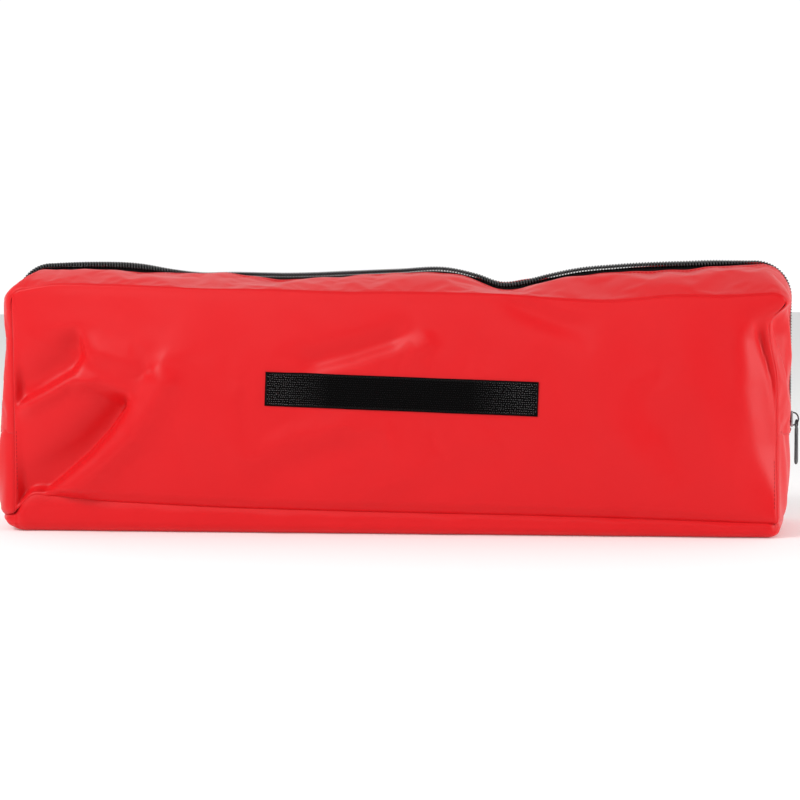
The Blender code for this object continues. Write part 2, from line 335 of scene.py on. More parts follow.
# %% [markdown]
# ### Red coated nylon
#
# A tight plain weave with a thin coating: saturated red, a broad satin highlight and hardly any
# grain at arm's length. The threads are a checker of two sine waves, the coating adds faint
# mottling, and short crinkles run through the cloth where it has been pressed in storage.


# %% Red cloth
def red_cloth_finish():
    red = new_finish("red_cloth", (0.62, 0.006, 0.009), 0.42, Coat_Weight=0.03, Coat_Roughness=0.4,
                     Sheen_Weight=0.03, Sheen_Roughness=0.5, Specular_IOR_Level=0.24)
    where = cloth_map(red)
    place = object_map(red)
    mottled = noise(red, place, 26.0, 4.0, 0.6)
    broad = noise(red, place, 5.0, 2.0)
    shade = weighted(red, mottled, 0.45, broad)
    plug(red, "Base Color", tint(red, shade, (0.66, 0.002, 0.005), (0.74, 0.007, 0.011)))
    plug(red, "Roughness", remap(red, mottled, 0.36, 0.50))
    threads = calculate(red, "MULTIPLY", bands(red, where, "X", 2200), bands(red, where, "Y", 2200))
    crinkle = noise(red, place, 60.0, 5.0, 0.55)
    soft = noise(red, place, 16.0, 3.0, 0.5)
    bump(red, (soft, 0.0016, 0.35), (crinkle, 0.0004, 0.30), (threads, 0.00005, 0.25))
    return red


RED = red_cloth_finish()


# %% [markdown]
# ### Zip, hook tape, thread, webbing and wool
#
# The zip's tape is a fine black weave, its coil a glossy black monofilament. The hook strip is a
# woven ground with stiff black hooks. The webbing is a coarse flat weave, and the blanket is grey
# felted wool, which has no thread pattern left but a hairy, uneven surface.


# %% Black and grey finishes
def woven_finish(name, dark, light, threads, roughness, depth=0.00012, gloss=0.12):
    """A plain weave: two colours by thread, and a checker of two waves as its height."""
    made = new_finish(name, light, roughness, Specular_IOR_Level=gloss)
    where = cloth_map(made)
    warp = bands(made, where, "X", threads)
    weft = bands(made, where, "Y", threads)
    checker = calculate(made, "MULTIPLY", warp, weft)
    grime = noise(made, object_map(made), 40.0, 3.0)
    shade = weighted(made, checker, 0.6, grime)
    plug(made, "Base Color", tint(made, shade, dark, light))
    plug(made, "Roughness", remap(made, grime, roughness - 0.08, roughness + 0.08))
    bump(made, (checker, depth, 0.7))
    return made


def filament_finish(name, colour, roughness, gloss=0.35):
    """Moulded nylon: a glossy surface with faint drawing marks."""
    made = new_finish(name, colour, roughness, Specular_IOR_Level=gloss)
    marks = noise(made, object_map(made), 900.0, 2.0)
    plug(made, "Roughness", remap(made, marks, roughness - 0.07, roughness + 0.12))
    bump(made, (marks, 0.00003, 0.3))
    return made


def hook_finish():
    """Nylon hooks with painted glints: grey patches in their colour towards the two ends of the strip stand
    in for light caught by the hooks.
    """
    black = (0.002, 0.002, 0.002)
    strip_middle = 0.011
    no_glint_to, full_glint_from = 0.052, 0.088
    made = filament_finish("hooks", black, 0.32, 0.15)
    place = object_map(made)
    across = node(made, "SeparateXYZ", Vector=place).outputs["X"]
    away = calculate(made, "ABSOLUTE", calculate(made, "SUBTRACT", across, strip_middle), 0.0)
    near_end = remap(made, away, 0.0, 1.0, no_glint_to, full_glint_from)
    glint_patches = calculate(made, "MULTIPLY", near_end, noise(made, place, 420.0, 2.0, 0.7))
    # the grey mixed in near the strip's ends is a painted highlight, standing in for glints of light on the
    # hooks
    plug(made, "Base Color", tint(made, glint_patches, black, (0.42, 0.42, 0.43)))
    return made


def metal_finish(name, colour, worn, roughness):
    """Plated metal: cloudy, finely scratched, and lighter where the plating is rubbed."""
    made = new_finish(name, colour, roughness, Metallic=1.0)
    where = object_map(made)
    cloud = noise(made, where, 260.0, 3.0)
    stretched = node(made, "Mapping", Vector=where, Scale=(1.0, 1.0, 0.08)).outputs["Vector"]
    scratches = noise(made, stretched, 2400.0, 2.0)
    plug(made, "Base Color", tint(made, cloud, colour, worn))
    plug(made, "Roughness", remap(made, scratches, roughness - 0.1, roughness + 0.15))
    bump(made, (scratches, 0.00002, 0.35))
    return made


def wool_finish():
    wool = new_finish("wool", (0.30, 0.29, 0.27), 0.92, Sheen_Weight=0.5, Sheen_Roughness=0.6)
    place = object_map(wool)
    hair = noise(wool, place, 900.0, 6.0, 0.7)
    patch = noise(wool, place, 70.0, 3.0)
    shade = weighted(wool, hair, 0.6, patch)
    plug(wool, "Base Color", tint(wool, shade, (0.17, 0.165, 0.155), (0.44, 0.425, 0.40)))
    bump(wool, (patch, 0.0006, 0.5), (hair, 0.0004, 0.8))
    return wool


TAPE_BLACK = woven_finish("zip_tape", (0.001, 0.001, 0.001), (0.007, 0.006, 0.007), 1800, 0.62)
GROUND_BLACK = woven_finish("hook_ground", (0.0008, 0.0008, 0.0008), (0.004, 0.0036, 0.004), 1500, 0.75,
                            gloss=0.05)
WEBBING = woven_finish("webbing", (0.012, 0.012, 0.013), (0.055, 0.054, 0.057), 620, 0.75, 0.0003)
COIL_BLACK = filament_finish("zip_coil", (0.03, 0.03, 0.032), 0.28, 0.6)
HOOK_BLACK = hook_finish()
RED_THREAD = woven_finish("red_thread", (0.42, 0.010, 0.014), (0.62, 0.018, 0.022), 3000, 0.55)
BLACK_THREAD = woven_finish("black_thread", (0.006, 0.006, 0.006), (0.03, 0.03, 0.03), 3000, 0.6)
GREY_METAL = metal_finish("slider_metal", (0.30, 0.30, 0.31), (0.52, 0.52, 0.53), 0.30)
BLACK_METAL = metal_finish("bridge_metal", (0.025, 0.024, 0.026), (0.10, 0.095, 0.10), 0.32)
GUNMETAL = metal_finish("tab_metal", (0.015, 0.014, 0.016), (0.07, 0.067, 0.07), 0.27)
WOOL = wool_finish()
print("finishes", len(bpy.data.materials))


# %% [markdown]
# ## Fitting a piece to the frame
#
# A piece either rides on one body, or, where a flap is named, has its placement baked into its
# points and is left unparented; no piece is bent between two bodies.


def bend_with(obj):
    """Bake the piece's placement into its points; it is not parented to a flap and is not bent."""
    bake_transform(obj)


def dress(obj, material, slot, body=None, flap=None, replaces=()):
    """Give a piece its finish, its place in the frame and the nodes that it stands for."""
    obj.data.materials.append(material)
    if replaces:
        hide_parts(*replaces)
    if flap:
        bend_with(obj)
    else:
        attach(obj, body)
    return obj


# %% [markdown]
# ## The bag's two lines
#
# Both lines are followed by one number, `u`, from the left end's foot (0) over the top to the right
# end's foot (1). The top is not straight: the cloth sags between the folds of the blanket, with one
# sharp dip right of the middle, and the front seam sags with it.

# %% The zip line and the seam line
# waves of the lines over the bag's length, as (x, height) in mm
RIDGE_WAVE = [(-272, 2), (-240, 3), (-200, 1), (-176, -3), (-150, -6), (-124, -5.5), (-80, -6),
              (-30, -4.5), (0, -3.5), (42, -3), (62, -8), (80, -14.5), (97, -13), (116, -8),
              (138, -3.5), (166, -1), (230, 1), (272, 2)]
FRONT_SEAM_WAVE = [(-284, 3), (-252, 8.3), (-216, 8), (-177, 6.5), (-139, 4.7), (-81, 3.4),
                   (-24, 1.2), (8, 1.3), (45, 0.6), (82, -0.2), (120, -3.3), (163, -5.6),
                   (211, -1.8), (247, -2.2), (284, 0)]
BACK_SEAM_WAVE = [(-284, 0), (-230, 3), (-150, 0.5), (-60, -2), (40, -3), (110, -1), (200, 2.5),
                  (284, 0)]
# shares of u that the upright side and the round corner take up at each end
SIDE_SHARE = 0.12
ARC_SHARE = 0.05
# how steeply the cloth falls away beside the zip, as (x in mm, slope in thousandths)
FRONT_FALL = [(-300, 450), (-185, 450), (-163, -150), (-130, -150), (-105, 300), (0, 320), (60, 480),
              (240, 480), (268, 250), (288, 0), (300, 0)]
BACK_FALL = [(-300, 200), (-232, 120), (-206, -240), (-186, -240), (-160, 100), (58, 100), (80, -350),
             (96, -350), (112, 120), (212, -60), (240, -240), (262, -100), (288, 0), (300, 0)]
FALL_WIDTH = 15 * MM


def wave_at(x, wave):
    """Height at x of a wave that is given in mm."""
    return through(x, np.array(wave, float) * MM)


def bag_line(u, half, top, radius, wave, foot):
    """Points (x, z) and outward directions of a line that rises straight at the left end, turns a
    round corner, follows the wavy top and comes down at the right end."""
    u = np.asarray(u, float)
    walk = np.minimum(u, 1 - u)
    sign = np.where(u < 0.5, -1.0, 1.0)
    turn = half - radius
    top_at_turn = top + wave_at(sign * turn, wave)
    side = np.clip(walk / SIDE_SHARE, 0, 1)
    angle = np.clip((walk - SIDE_SHARE) / ARC_SHARE, 0, 1) * np.pi / 2
    flat = np.clip((walk - SIDE_SHARE - ARC_SHARE) / (0.5 - SIDE_SHARE - ARC_SHARE), 0, 1)
    x = np.where(flat > 0, turn * (1 - flat), turn + radius * np.cos(angle))
    z = top_at_turn - radius + radius * np.sin(angle)
    z = np.where(walk < SIDE_SHARE, foot + (top_at_turn - radius - foot) * side, z)
    z = np.where(flat > 0, top + wave_at(sign * x, wave), z)
    return sign * x, z, sign * np.cos(angle), np.sin(angle)


def zip_line(u, foot=ZIP_FOOT):
    """The line down the zip's middle."""
    return bag_line(u, RIDGE_HALF, RIDGE, RIDGE_RADIUS, RIDGE_WAVE, foot)


def fullness(u):
    """Exponent of the gusset's section: the left end is full and round, the top and right end are
    roof-like."""
    left = 1 - ease(u, SIDE_SHARE, SIDE_SHARE + 1.5 * ARC_SHARE)
    return 1.6 + 4.4 * left


def zip_drop(x, y):
    """How steeply the cloth falls away beside the zip, on the front (y < 0) and on the back. Below
    0 it stands up and hides the zip from that side."""
    return np.where(y < 0, wave_at(x, FRONT_FALL), wave_at(x, BACK_FALL))


def gusset_point(u, y, wave, depth=0.0, foot=ZIP_FOOT):
    """Point on the gusset: between the seam line and the zip line, risen by
    1 - (y / half depth) ** fullness, dropped beside the zip, and sunk by depth."""
    ridge_x, ridge_z, out_x, out_z = zip_line(u, foot)
    seam_x, seam_z = bag_line(u, SEAM_HALF, SHOULDER, SHOULDER_RADIUS, wave, foot)[:2]
    near = np.clip(np.abs(y) / HALF_DEPTH, 0, 1)
    risen = 1 - near ** fullness(u)
    lean = -zip_drop(ridge_x, y) * np.abs(y) * np.exp(-(y / FALL_WIDTH) ** 2)
    x = seam_x + (ridge_x - seam_x) * risen + out_x * (lean - depth)
    z = seam_z + (ridge_z - seam_z) * risen + out_z * (lean - depth)
    return np.stack(np.broadcast_arrays(x, y, z), axis=-1)


# %% [markdown]
# ## Settling cloth
#
# Sewn cloth is slightly longer than the straight way between its seams, which is what makes it
# buckle. `settle` holds the seams, lets the sheet grow by a few thousandths and runs Blender's cloth
# simulation without gravity, so that the extra length turns into small folds that spread from the
# held edges. The movement is capped, so the cloth can't leave the room that the frame gives it.


# %% Cloth simulation
def settle(name, points, held, growth, frames, cap, stiffness=0.6, calm=np.ones((1, 1))):
    """Simulate the grid and return the settled grid. held is 1 where the cloth is sewn down, and
    calm is the share of the movement that is kept."""
    obj = surface(name, points)
    group = obj.vertex_groups.new(name="held")
    for level in np.unique(np.round(held, 1)):
        if level > 0:
            chosen = np.flatnonzero(np.round(held, 1).ravel() == level)
            group.add(chosen.tolist(), float(level), "REPLACE")
    cloth = obj.modifiers.new("cloth", "CLOTH")
    nylon = {"vertex_group_mass": "held", "quality": 6, "mass": 0.12, "tension_stiffness": 20,
             "compression_stiffness": 20, "shear_stiffness": 8, "bending_stiffness": stiffness,
             "air_damping": 3, "shrink_min": -growth, "shrink_max": -growth, "pin_stiffness": 2}
    for setting, value in nylon.items():
        setattr(cloth.settings, setting, value)
    cloth.settings.effector_weights.gravity = 0
    cloth.point_cache.frame_start = 1
    cloth.point_cache.frame_end = frames
    for step in range(1, frames + 1):
        bpy.context.scene.frame_set(step)
    graph = bpy.context.evaluated_depsgraph_get()
    mesh = obj.evaluated_get(graph).to_mesh()
    flat = np.empty(len(mesh.vertices) * 3, np.float32)
    mesh.vertices.foreach_get("co", flat)
    bpy.context.scene.frame_set(1)
    bpy.data.objects.remove(obj, do_unlink=True)
    moved = flat.reshape(points.shape).astype(float) - points
    size = np.linalg.norm(moved, axis=-1, keepdims=True)
    moved *= np.minimum(1, cap / np.maximum(size, 1e-9)) * calm[..., None]
    print(name, "moved at most", round(float(size.max()) * 1000, 1), "mm")
    return points + moved


# %% [markdown]
# ## Front panel
#
# One piece of cloth from the bottom seam to the top seam. It is packed tight in the middle, where
# the strip is sewn on, and loose at its lower left corner: there one deep crease runs up from the
# corner with a rounded fold beside it, and a dimple lies above. At the right end the cloth turns
# softly towards the zip. Each fold is a line with a width and a depth, added to a shallow swell.

# %% Front panel
BOTTOM_SEAM = [(-290, 11), (-283, 16), (-270, 27), (-256, 26.8), (-221, 23.6), (-184, 21.8),
               (-128, 19.4), (-60, 17.8), (8, 16.6), (122, 14.9), (196, 13.2), (284, 11), (290, 11)]
SEAM_ROLL = 1.3 * MM
TOP_ROLL = 0.2 * MM
ROLL_WIDTH = 2.0 * MM
SWELL_POWER = 6


def fold(height, width, fade, *path, steep=None, power=2.0):
    """A fold to be added to a swell: a ridge, or a valley if its height is below 0, through the
    points (x, z) of its path. All lengths are in mm."""
    return height, path, width, fade, steep, power


def with_folds(out, x, z, folds):
    """The swell out, in mm, with each fold added in turn."""
    for height, path, width, fade, steep, power in folds:
        out = out + height * fold_line(x, z, path, width, fade, steep, power)
    return out


def panel_grid(columns, rows, wave):
    """Positions (x, z) of a panel's grid, from the bottom seam to the top seam, whose ends are
    rounded down to the corners. v runs from 0 to 1 up each column."""
    u = np.linspace(-1, 1, columns)[:, None]
    v = np.linspace(0, 1, rows)[None, :]
    x = u * SEAM_HALF
    over = np.clip(np.abs(x) - (SEAM_HALF - SHOULDER_RADIUS), 0, SHOULDER_RADIUS)
    drop = SHOULDER_RADIUS - np.sqrt(SHOULDER_RADIUS ** 2 - over ** 2)
    straight = np.clip(x, -SEAM_HALF + SHOULDER_RADIUS, SEAM_HALF - SHOULDER_RADIUS)
    top = SHOULDER + wave_at(straight, wave) - drop
    low = wave_at(x, BOTTOM_SEAM)
    z = low + (top - low) * v
    edges = [np.broadcast_to(SEAM_HALF - np.abs(x), z.shape), z - low, top - z]
    return np.broadcast_to(x, z.shape), z, edges, np.broadcast_to(v, z.shape)


FRONT_FOLDS = [
    # the crease from the lower left corner and the rounded fold beside it
    fold(-19.0, 18, 0.12, (-292, 10), (-283, 17), (-267, 28), (-253, 39), (-239, 50), (-225, 62),
         (-210, 78), (-198, 94), (-192, 107), steep=3.0, power=1.2),
    fold(6.5, 12, 0.16, (-262, 14), (-236, 33), (-212, 52), (-190, 73), (-176, 94), (-166, 113),
         (-168, 126), (-180, 134)),
    # the dimple above them and its two lips
    fold(-9.5, 20, 0.22, (-290, 94), (-281, 99), (-258, 111), (-238, 123), (-231, 133), (-235, 158),
         steep=4.5),
    fold(4.2, 8, 0.25, (-286, 88), (-258, 104), (-238, 115), (-224, 112), (-216, 100)),
    fold(2.6, 10, 0.35, (-226, 150), (-214, 136), (-190, 130), (-176, 134)),
    # the pulled fold above the strip, and the slack below it
    fold(-4.6, 11, 0.25, (-76, 121), (-52, 128), (-24, 135), (4, 144), (26, 156), steep=6),
    fold(2.2, 7, 0.4, (16, 132), (30, 142), (34, 154)),
    fold(1.8, 11, 0.35, (0, 90), (-22, 85), (-80, 67), (-120, 52)),
    fold(-2.4, 12, 0.3, (4, 74), (-40, 61), (-90, 39), (-120, 30)),
    fold(1.8, 9, 0.35, (44, 60), (21, 48), (-26, 26)),
    fold(-1.8, 12, 0.4, (110, 70), (60, 46), (20, 26)),
    # soft folds under the dip of the zip and in the right half
    fold(-2.4, 8, 0.35, (78, 182), (98, 168), (128, 156), (160, 150)),
    fold(1.6, 14, 0.4, (150, 100), (176, 66), (196, 34)),
    fold(-1.8, 14, 0.4, (176, 110), (204, 70), (226, 34)),
    # the turn of the cloth at the right end
    fold(2.4, 9, 0.2, (286, 174), (272, 160), (263, 146), (261, 110), (268, 66), (279, 24)),
    fold(-5.0, 5, 0.2, (272, 161), (275, 146), (279, 124), (283, 100), (285, 80), steep=2.4),
    fold(-2.0, 3.0, 0.3, (287, 68), (285, 46)),
]
BACK_FOLDS = [
    fold(-5.0, 6, 0.2, (288, 14), (255, 50), (232, 82), (222, 112), steep=15),
    fold(3.0, 10, 0.3, (262, 16), (232, 48), (208, 84)),
    fold(-4.0, 12, 0.25, (-288, 26), (-256, 62), (-238, 104), steep=6),
    fold(-2.6, 12, 0.4, (-120, 150), (-60, 128), (20, 120)),
    fold(2.0, 14, 0.4, (60, 60), (0, 52), (-90, 60)),
]


def front_swell(x, z, v):
    """How far the front stands out: a shallow swell between the seams and the folds."""
    across = 1 - (np.abs(x) / SEAM_HALF) ** SWELL_POWER
    belly = np.sin(np.pi * v ** 0.72) ** 0.85
    waves = ripples(x + 0.4 * z, [170, 95, 61], 3)
    out = 9.0 * belly * across + 1.0 * np.sin(np.pi * v) * waves
    return with_folds(out, x, z, FRONT_FOLDS) * MM


def back_swell(x, z, v):
    """The back is flatter than the front between its seams and has softer folds."""
    across = 1 - (np.abs(x) / SEAM_HALF) ** SWELL_POWER
    waves = ripples(x - 0.5 * z, [190, 120, 73], 5)
    out = 6.5 * np.sin(np.pi * v) ** 0.8 * across + 1.4 * np.sin(np.pi * v) * waves
    return with_folds(out, x, z, BACK_FOLDS) * MM


def shape_ends(points):
    """Press the upright corners of the filled bag in: the front right one most, where the panel
    wraps round towards the zip. The left end is fuller at its foot than higher up, the right front
    edge is drawn in at 154 mm and let out above it, and the left top corner of the front is cut
    off by a slope. Panels, gussets, base and ends all go through this, so pieces that share a seam
    stay joined."""
    x, y, z = (points[..., k].copy() for k in range(3))
    upright = ease(z, 12 * MM, 70 * MM) * (1 - ease(z, 140 * MM, 176 * MM))
    outer = ease(np.abs(y), 22 * MM, 60 * MM)
    front_right = 12.0 * ease(x, 250 * MM, 288 * MM) * (y < 0)
    back_right = 6.0 * ease(x, 256 * MM, 288 * MM) * (y > 0)
    left = 3.0 * ease(-x, 262 * MM, 288 * MM)
    inwards = (front_right + back_right + left) * MM * upright * outer
    beyond = np.maximum(-x - SEAM_HALF, 0)
    fuller = through(z, [(0, 1.1), (0.015, 1.0), (0.04, 0.7), (0.07, 0.5), (0.095, 0.42), (0.14, 0.0),
                         (0.2, -0.1)])
    drawn = 6 * ease(z, 110 * MM, 154 * MM) * (1 - ease(z, 156 * MM, 170 * MM))
    knot = drawn - 7 * ease(z, 156 * MM, 174 * MM)
    pulled = knot * MM * ease(x, 240 * MM, 284 * MM) * ease(-y, 26 * MM, 58 * MM)
    x = x - beyond * fuller - pulled
    slope_x, slope_z = 0.667, 0.744
    beyond_slope = np.maximum(-slope_x * (x + 288 * MM) + slope_z * (z - 180 * MM), 0)
    over = beyond_slope * ease(-y, 5 * MM, 30 * MM) * 0.85
    return np.stack([x + slope_x * over, y - np.sign(y) * inwards, z - slope_z * over], axis=-1)


def no_deeper(out, start=-5 * MM, room=5 * MM):
    """Let folds sink freely down to start, and less and less below it, never past room, so that
    they clear the blanket."""
    below = np.minimum(out - start, 0)
    return np.maximum(out, start) - room * (1 - np.exp(below / room))


def panel_points(side, wave, swell, columns=286, rows=82):
    """A panel's grid of points: x and z from panel_grid, y from the swell, rolled in at the seams.
    The distance to the nearest seam comes with it."""
    x, z, (end, low, top), v = panel_grid(columns, rows, wave)
    edge = np.minimum.reduce([end, low, top])
    out = no_deeper(swell(x, z, v)) * ease(edge, 0, 8 * MM)
    rolls = [roll * np.exp(-(away / ROLL_WIDTH) ** 2)
             for roll, away in ((SEAM_ROLL, end), (SEAM_ROLL, low), (TOP_ROLL, top))]
    y = side * (HALF_DEPTH + out - np.maximum.reduce(rolls))
    points = np.stack([x - np.sign(x) * rolls[0], y, z - rolls[2]], axis=-1)
    return shape_ends(points), edge


SEWN = 4 * MM
front_points, front_edge = panel_points(-1, FRONT_SEAM_WAVE, front_swell)
held = (front_edge < SEWN).astype(float)
beside_strip = np.abs(front_points[..., 0] - 8.8 * MM) < 104 * MM
level_with_strip = np.abs(front_points[..., 2] - 103 * MM) < 18 * MM
held = np.maximum(held, 0.5 * (beside_strip & level_with_strip))
front_points = settle("front_settling", front_points, held, 0.0018, 10, 4 * MM, 8.0,
                      ease(front_edge, SEWN, 50 * MM))
front = thicken(surface("front_cloth", front_points), CLOTH)
dress(front, RED, "red_cloth", flap="front_flap", replaces=("front_panel_lower", "front_panel_upper"))
print("front cloth", len(front.data.vertices), "points")

# %% [markdown]
# ## Back panel
#
# The same piece with its own folds, mirrored to the other side. Its grid is turned over so that its
# faces still look outwards.

# %% Back panel
back_points, back_edge = panel_points(1, BACK_SEAM_WAVE, back_swell, 240, 70)
held = (back_edge < SEWN).astype(float)
back_points = settle("back_settling", back_points, held, 0.006, 10, 4 * MM, 6.0)
back = thicken(surface("back_cloth", back_points, flip=True), CLOTH)
dress(back, RED, "red_cloth", flap="back_flap", replaces=("back_panel_lower", "back_panel_upper"))
print("back cloth", len(back.data.vertices), "points")

# %% [markdown]
# ## Gussets
#
# The two strips between the panels and the zip run over the top and down both ends. A zip doesn't
# shrink as its cloth does, so the cloth beside it puckers: short ripples across the strip, strongest
# at the zip, and a few sharper tucks at the dip in the top.


# %% Gussets
# tucks as (depth, path, width, steep side), all in mm: a path on the top is (x, distance from the
# zip's middle), one on an end is (z, that distance). A depth below 0 stands out.
TOP_TUCKS = [(2.2, [(70, 8), (84, 26), (104, 44)], 5, None), (1.6, [(112, 10), (120, 30)], 6, None)]
RIGHT_TUCKS = [(3.0, [(172, 58), (150, 46), (118, 40), (96, 36)], 6, 3),
               (-2.6, [(176, 50), (158, 34), (136, 24), (112, 20)], 6, None),
               (2.2, [(184, 40), (172, 24), (160, 14)], 4, None)]
LEFT_TUCKS = [(2.0, [(160, 56), (130, 44), (92, 40)], 6, None)]
TUCK_FADE = 0.3


def gusset_points(side, wave, seed, columns=430, rows=32):
    """A gusset's grid from the seam to the zip: gusset_point, sunk by its tucks, its rolled seam and
    its turned-in edge, and raised by its puckers and its hem."""
    u = np.linspace(0, 1, columns)[:, None]
    reach = np.linspace(HALF_DEPTH, ZIP_EDGE, rows)[None, :]
    nearness = 1 - reach / HALF_DEPTH
    walked = u * 0.82
    pucker = ripples(walked, [38, 26, 61], seed) * ease(nearness, 0.05, 0.8) * 0.7 * MM
    slack = ripples(walked + reach, [140, 90, 210], seed + 1) * np.sin(np.pi * nearness) * 1.5 * MM
    x_top, z_side = zip_line(u)[:2]
    z_side = z_side + 0 * reach
    tuck = 0
    for place, where, tucks in ((x_top, 1.0, TOP_TUCKS), (z_side, ease(u, 0.81, 0.85), RIGHT_TUCKS),
                                (z_side, 1 - ease(u, 0.13, 0.17), LEFT_TUCKS)):
        for sunk, path, width, steep in tucks:
            tuck = tuck + sunk * MM * where * fold_line(place, reach, path, width, TUCK_FADE, steep)
    upright = 1 - ease(np.minimum(u, 1 - u), SIDE_SHARE * 0.8, SIDE_SHARE + ARC_SHARE)
    rolled = TOP_ROLL + (SEAM_ROLL - TOP_ROLL) * upright
    roll = rolled * np.exp(-((HALF_DEPTH - reach) / ROLL_WIDTH) ** 2)
    hem = 0.5 * MM * np.exp(-((reach - ZIP_EDGE - 2.2 * MM) / (1.6 * MM)) ** 2)
    inner = 0.9 * MM * np.exp(-((reach - ZIP_EDGE) / (0.8 * MM)) ** 2)
    depth = tuck + roll + inner - hem - pucker - slack
    points = gusset_point(u, side * reach, wave, depth)
    points[..., 1] -= side * roll
    return shape_ends(points)


def edge_held(columns, rows):
    """1 on the border of a grid, which is three points wide beside the zip, and 0 inside."""
    held = np.zeros((columns, rows))
    held[:2] = held[-2:] = 1
    held[:, :2] = held[:, -3:] = 1
    return held


gussets = {}
for word, side, wave, seed in (("front", -1, FRONT_SEAM_WAVE, 11), ("back", 1, BACK_SEAM_WAVE, 23)):
    points = gusset_points(side, wave, seed)
    points = settle(f"gusset_{word}_settling", points, edge_held(*points.shape[:2]), 0.006, 8, 2 * MM, 1.5)
    gussets[word] = points
    gusset = thicken(surface(f"gusset_{word}_cloth", points, flip=side > 0), CLOTH)
    dress(gusset, RED, "red_cloth", flap=f"{word}_flap", replaces=(f"gusset_{word}",))
print("gussets", points.shape[:2])

# %% [markdown]
# ## Base and ends
#
# The base is one piece whose edges curl up to the bottom seam. Its grid is laid out flat and bent:
# whatever reaches past the flat part climbs a quarter wave and swings round the corners. Inside the
# seam its allowance stands up, so no light gets past the seam when the bag is open. The ends below
# the zip close the bag between the base and the zip's foot, where a cross seam is sewn.

# %% Base
BASE_CURL = 9 * MM
ALLOWANCE = 3.5 * MM
ALLOWANCE_INSET = 1.4 * MM
BOTTOM_END = 290 * MM
ROUND_END, ROOF_END = 6.0, 1.6


def end_reach(side, y, z):
    """Half length of the bag's end at y: full and round on the left, roof-like on the right."""
    power = np.where(np.asarray(side) < 0, ROUND_END, ROOF_END)
    swell = 12.5 * MM * (0.55 + 0.45 * np.sin(np.pi * np.clip(z / (150 * MM), 0, 1)))
    return SEAM_HALF + swell * (1 - np.clip(np.abs(y) / HALF_DEPTH, 0, 1) ** power)


def end_rim(side, y):
    """Height of the bottom seam along an end."""
    reach = side * end_reach(side, y, 12 * MM)
    return wave_at(np.clip(reach, -BOTTOM_END, BOTTOM_END), BOTTOM_SEAM)


def base_points(columns=300, rows=96):
    """Flat grid whose overhang climbs to the bottom seam: height = rim * (1 - cos), outward by a
    sine. The outermost ring of points is the seam allowance inside the seam."""
    climb_length = 26 * MM
    flat_x = SEAM_HALF - BASE_CURL
    flat_y = HALF_DEPTH - BASE_CURL
    across = np.linspace(-1, 1, columns)[:, None] * (flat_x + climb_length)
    deep = np.linspace(-1, 1, rows)[None, :] * (flat_y + climb_length)
    over_x = np.maximum(np.abs(across) - flat_x, 0) + 0 * deep
    over_y = np.maximum(np.abs(deep) - flat_y, 0) + 0 * across
    climb = np.maximum(over_x, over_y) / climb_length
    turn = np.arctan2(over_y, over_x)
    spread = BASE_CURL * np.sin(np.minimum(1, 1.5 * climb) * np.pi / 2)
    x = np.sign(across) * (np.minimum(np.abs(across), flat_x) + spread * np.cos(turn) * (over_x > 0))
    y = np.sign(deep) * (np.minimum(np.abs(deep), flat_y) + spread * np.sin(turn) * (over_y > 0))
    side = np.sign(across)
    on_end = ease(over_x, 0, BASE_CURL) * (over_x >= over_y)
    rim = wave_at(np.clip(x, -BOTTOM_END, BOTTOM_END), BOTTOM_SEAM)
    rim = np.where(on_end > 0, end_rim(side, y), rim)
    bulge = end_reach(side, y, rim) - SEAM_HALF
    x = x + side * bulge * climb * on_end
    roll = SEAM_ROLL * np.exp(-((1 - climb) * climb_length / ROLL_WIDTH) ** 2)
    z = rim * (1 - np.cos(climb * np.pi / 2))
    x = x - np.sign(across) * roll * (over_x > over_y)
    y = y - np.sign(deep) * roll * (over_y >= over_x) * (over_y > 0)
    sag = 0.9 * MM * ripples(x + 0.3 * y, [64, 110, 41], 31) * np.sin(np.pi * climb)
    y = y + np.sign(deep) * sag * (over_y > 0)
    points = shape_ends(np.stack([x, y, z], axis=-1))
    lipped = np.pad(points, ((1, 1), (1, 1), (0, 0)), mode="edge")
    lip = np.ones(lipped.shape[:2], bool)
    lip[1:-1, 1:-1] = False
    inset = np.sign(lipped[lip]) * np.array([-ALLOWANCE_INSET, -ALLOWANCE_INSET, 0])
    lipped[lip] += inset + np.array([0, 0, ALLOWANCE])
    return lipped


base = thicken(surface("base_cloth", base_points(), flip=True), CLOTH)
dress(base, RED, "red_cloth", body="root", replaces=("base_panel",))
print("base", len(base.data.vertices), "points")


# %% Ends below the zip
def end_points(side, rows=66, columns=34):
    """Grid over the end from the base to just above the zip's foot."""
    y = np.linspace(-1, 1, rows)[:, None] * HALF_DEPTH
    v = np.linspace(0, 1, columns)[None, :]
    low = end_rim(side, y)
    z = low + (ZIP_FOOT + 3 * MM - low) * v + 0 * y
    side_roll = SEAM_ROLL * np.exp(-((HALF_DEPTH - np.abs(y)) / ROLL_WIDTH) ** 2)
    low_roll = SEAM_ROLL * np.exp(-((z - low) / ROLL_WIDTH) ** 2)
    edge = np.minimum(HALF_DEPTH - np.abs(y), z - low)
    above = np.abs(gusset_point(0.0 if side < 0 else 1.0, y, FRONT_SEAM_WAVE)[..., 0])
    x = end_reach(side, y, z)
    x = x + (above - x) * ease(z, 40 * MM, ZIP_FOOT)
    x = x + 1.4 * MM * ripples(y + 0.5 * z, [44, 70, 29], 41 + side) * ease(edge, 0, 12 * MM)
    x = x - np.maximum(side_roll, low_roll)
    x = x - 0.9 * MM * ease(z, ZIP_FOOT - 1 * MM, ZIP_FOOT + 3 * MM)
    x, y, z = np.broadcast_arrays(side * x, y - np.sign(y) * side_roll, z)
    return shape_ends(np.stack([x, y, z], axis=-1))


ends = {}
for word, side in (("left", -1), ("right", 1)):
    ends[word] = end_points(side)
    end = thicken(surface(f"{word}_end_cloth", ends[word], flip=side < 0), CLOTH)
    dress(end, RED, "red_cloth", body="root", replaces=(f"{word}_end_panel",))

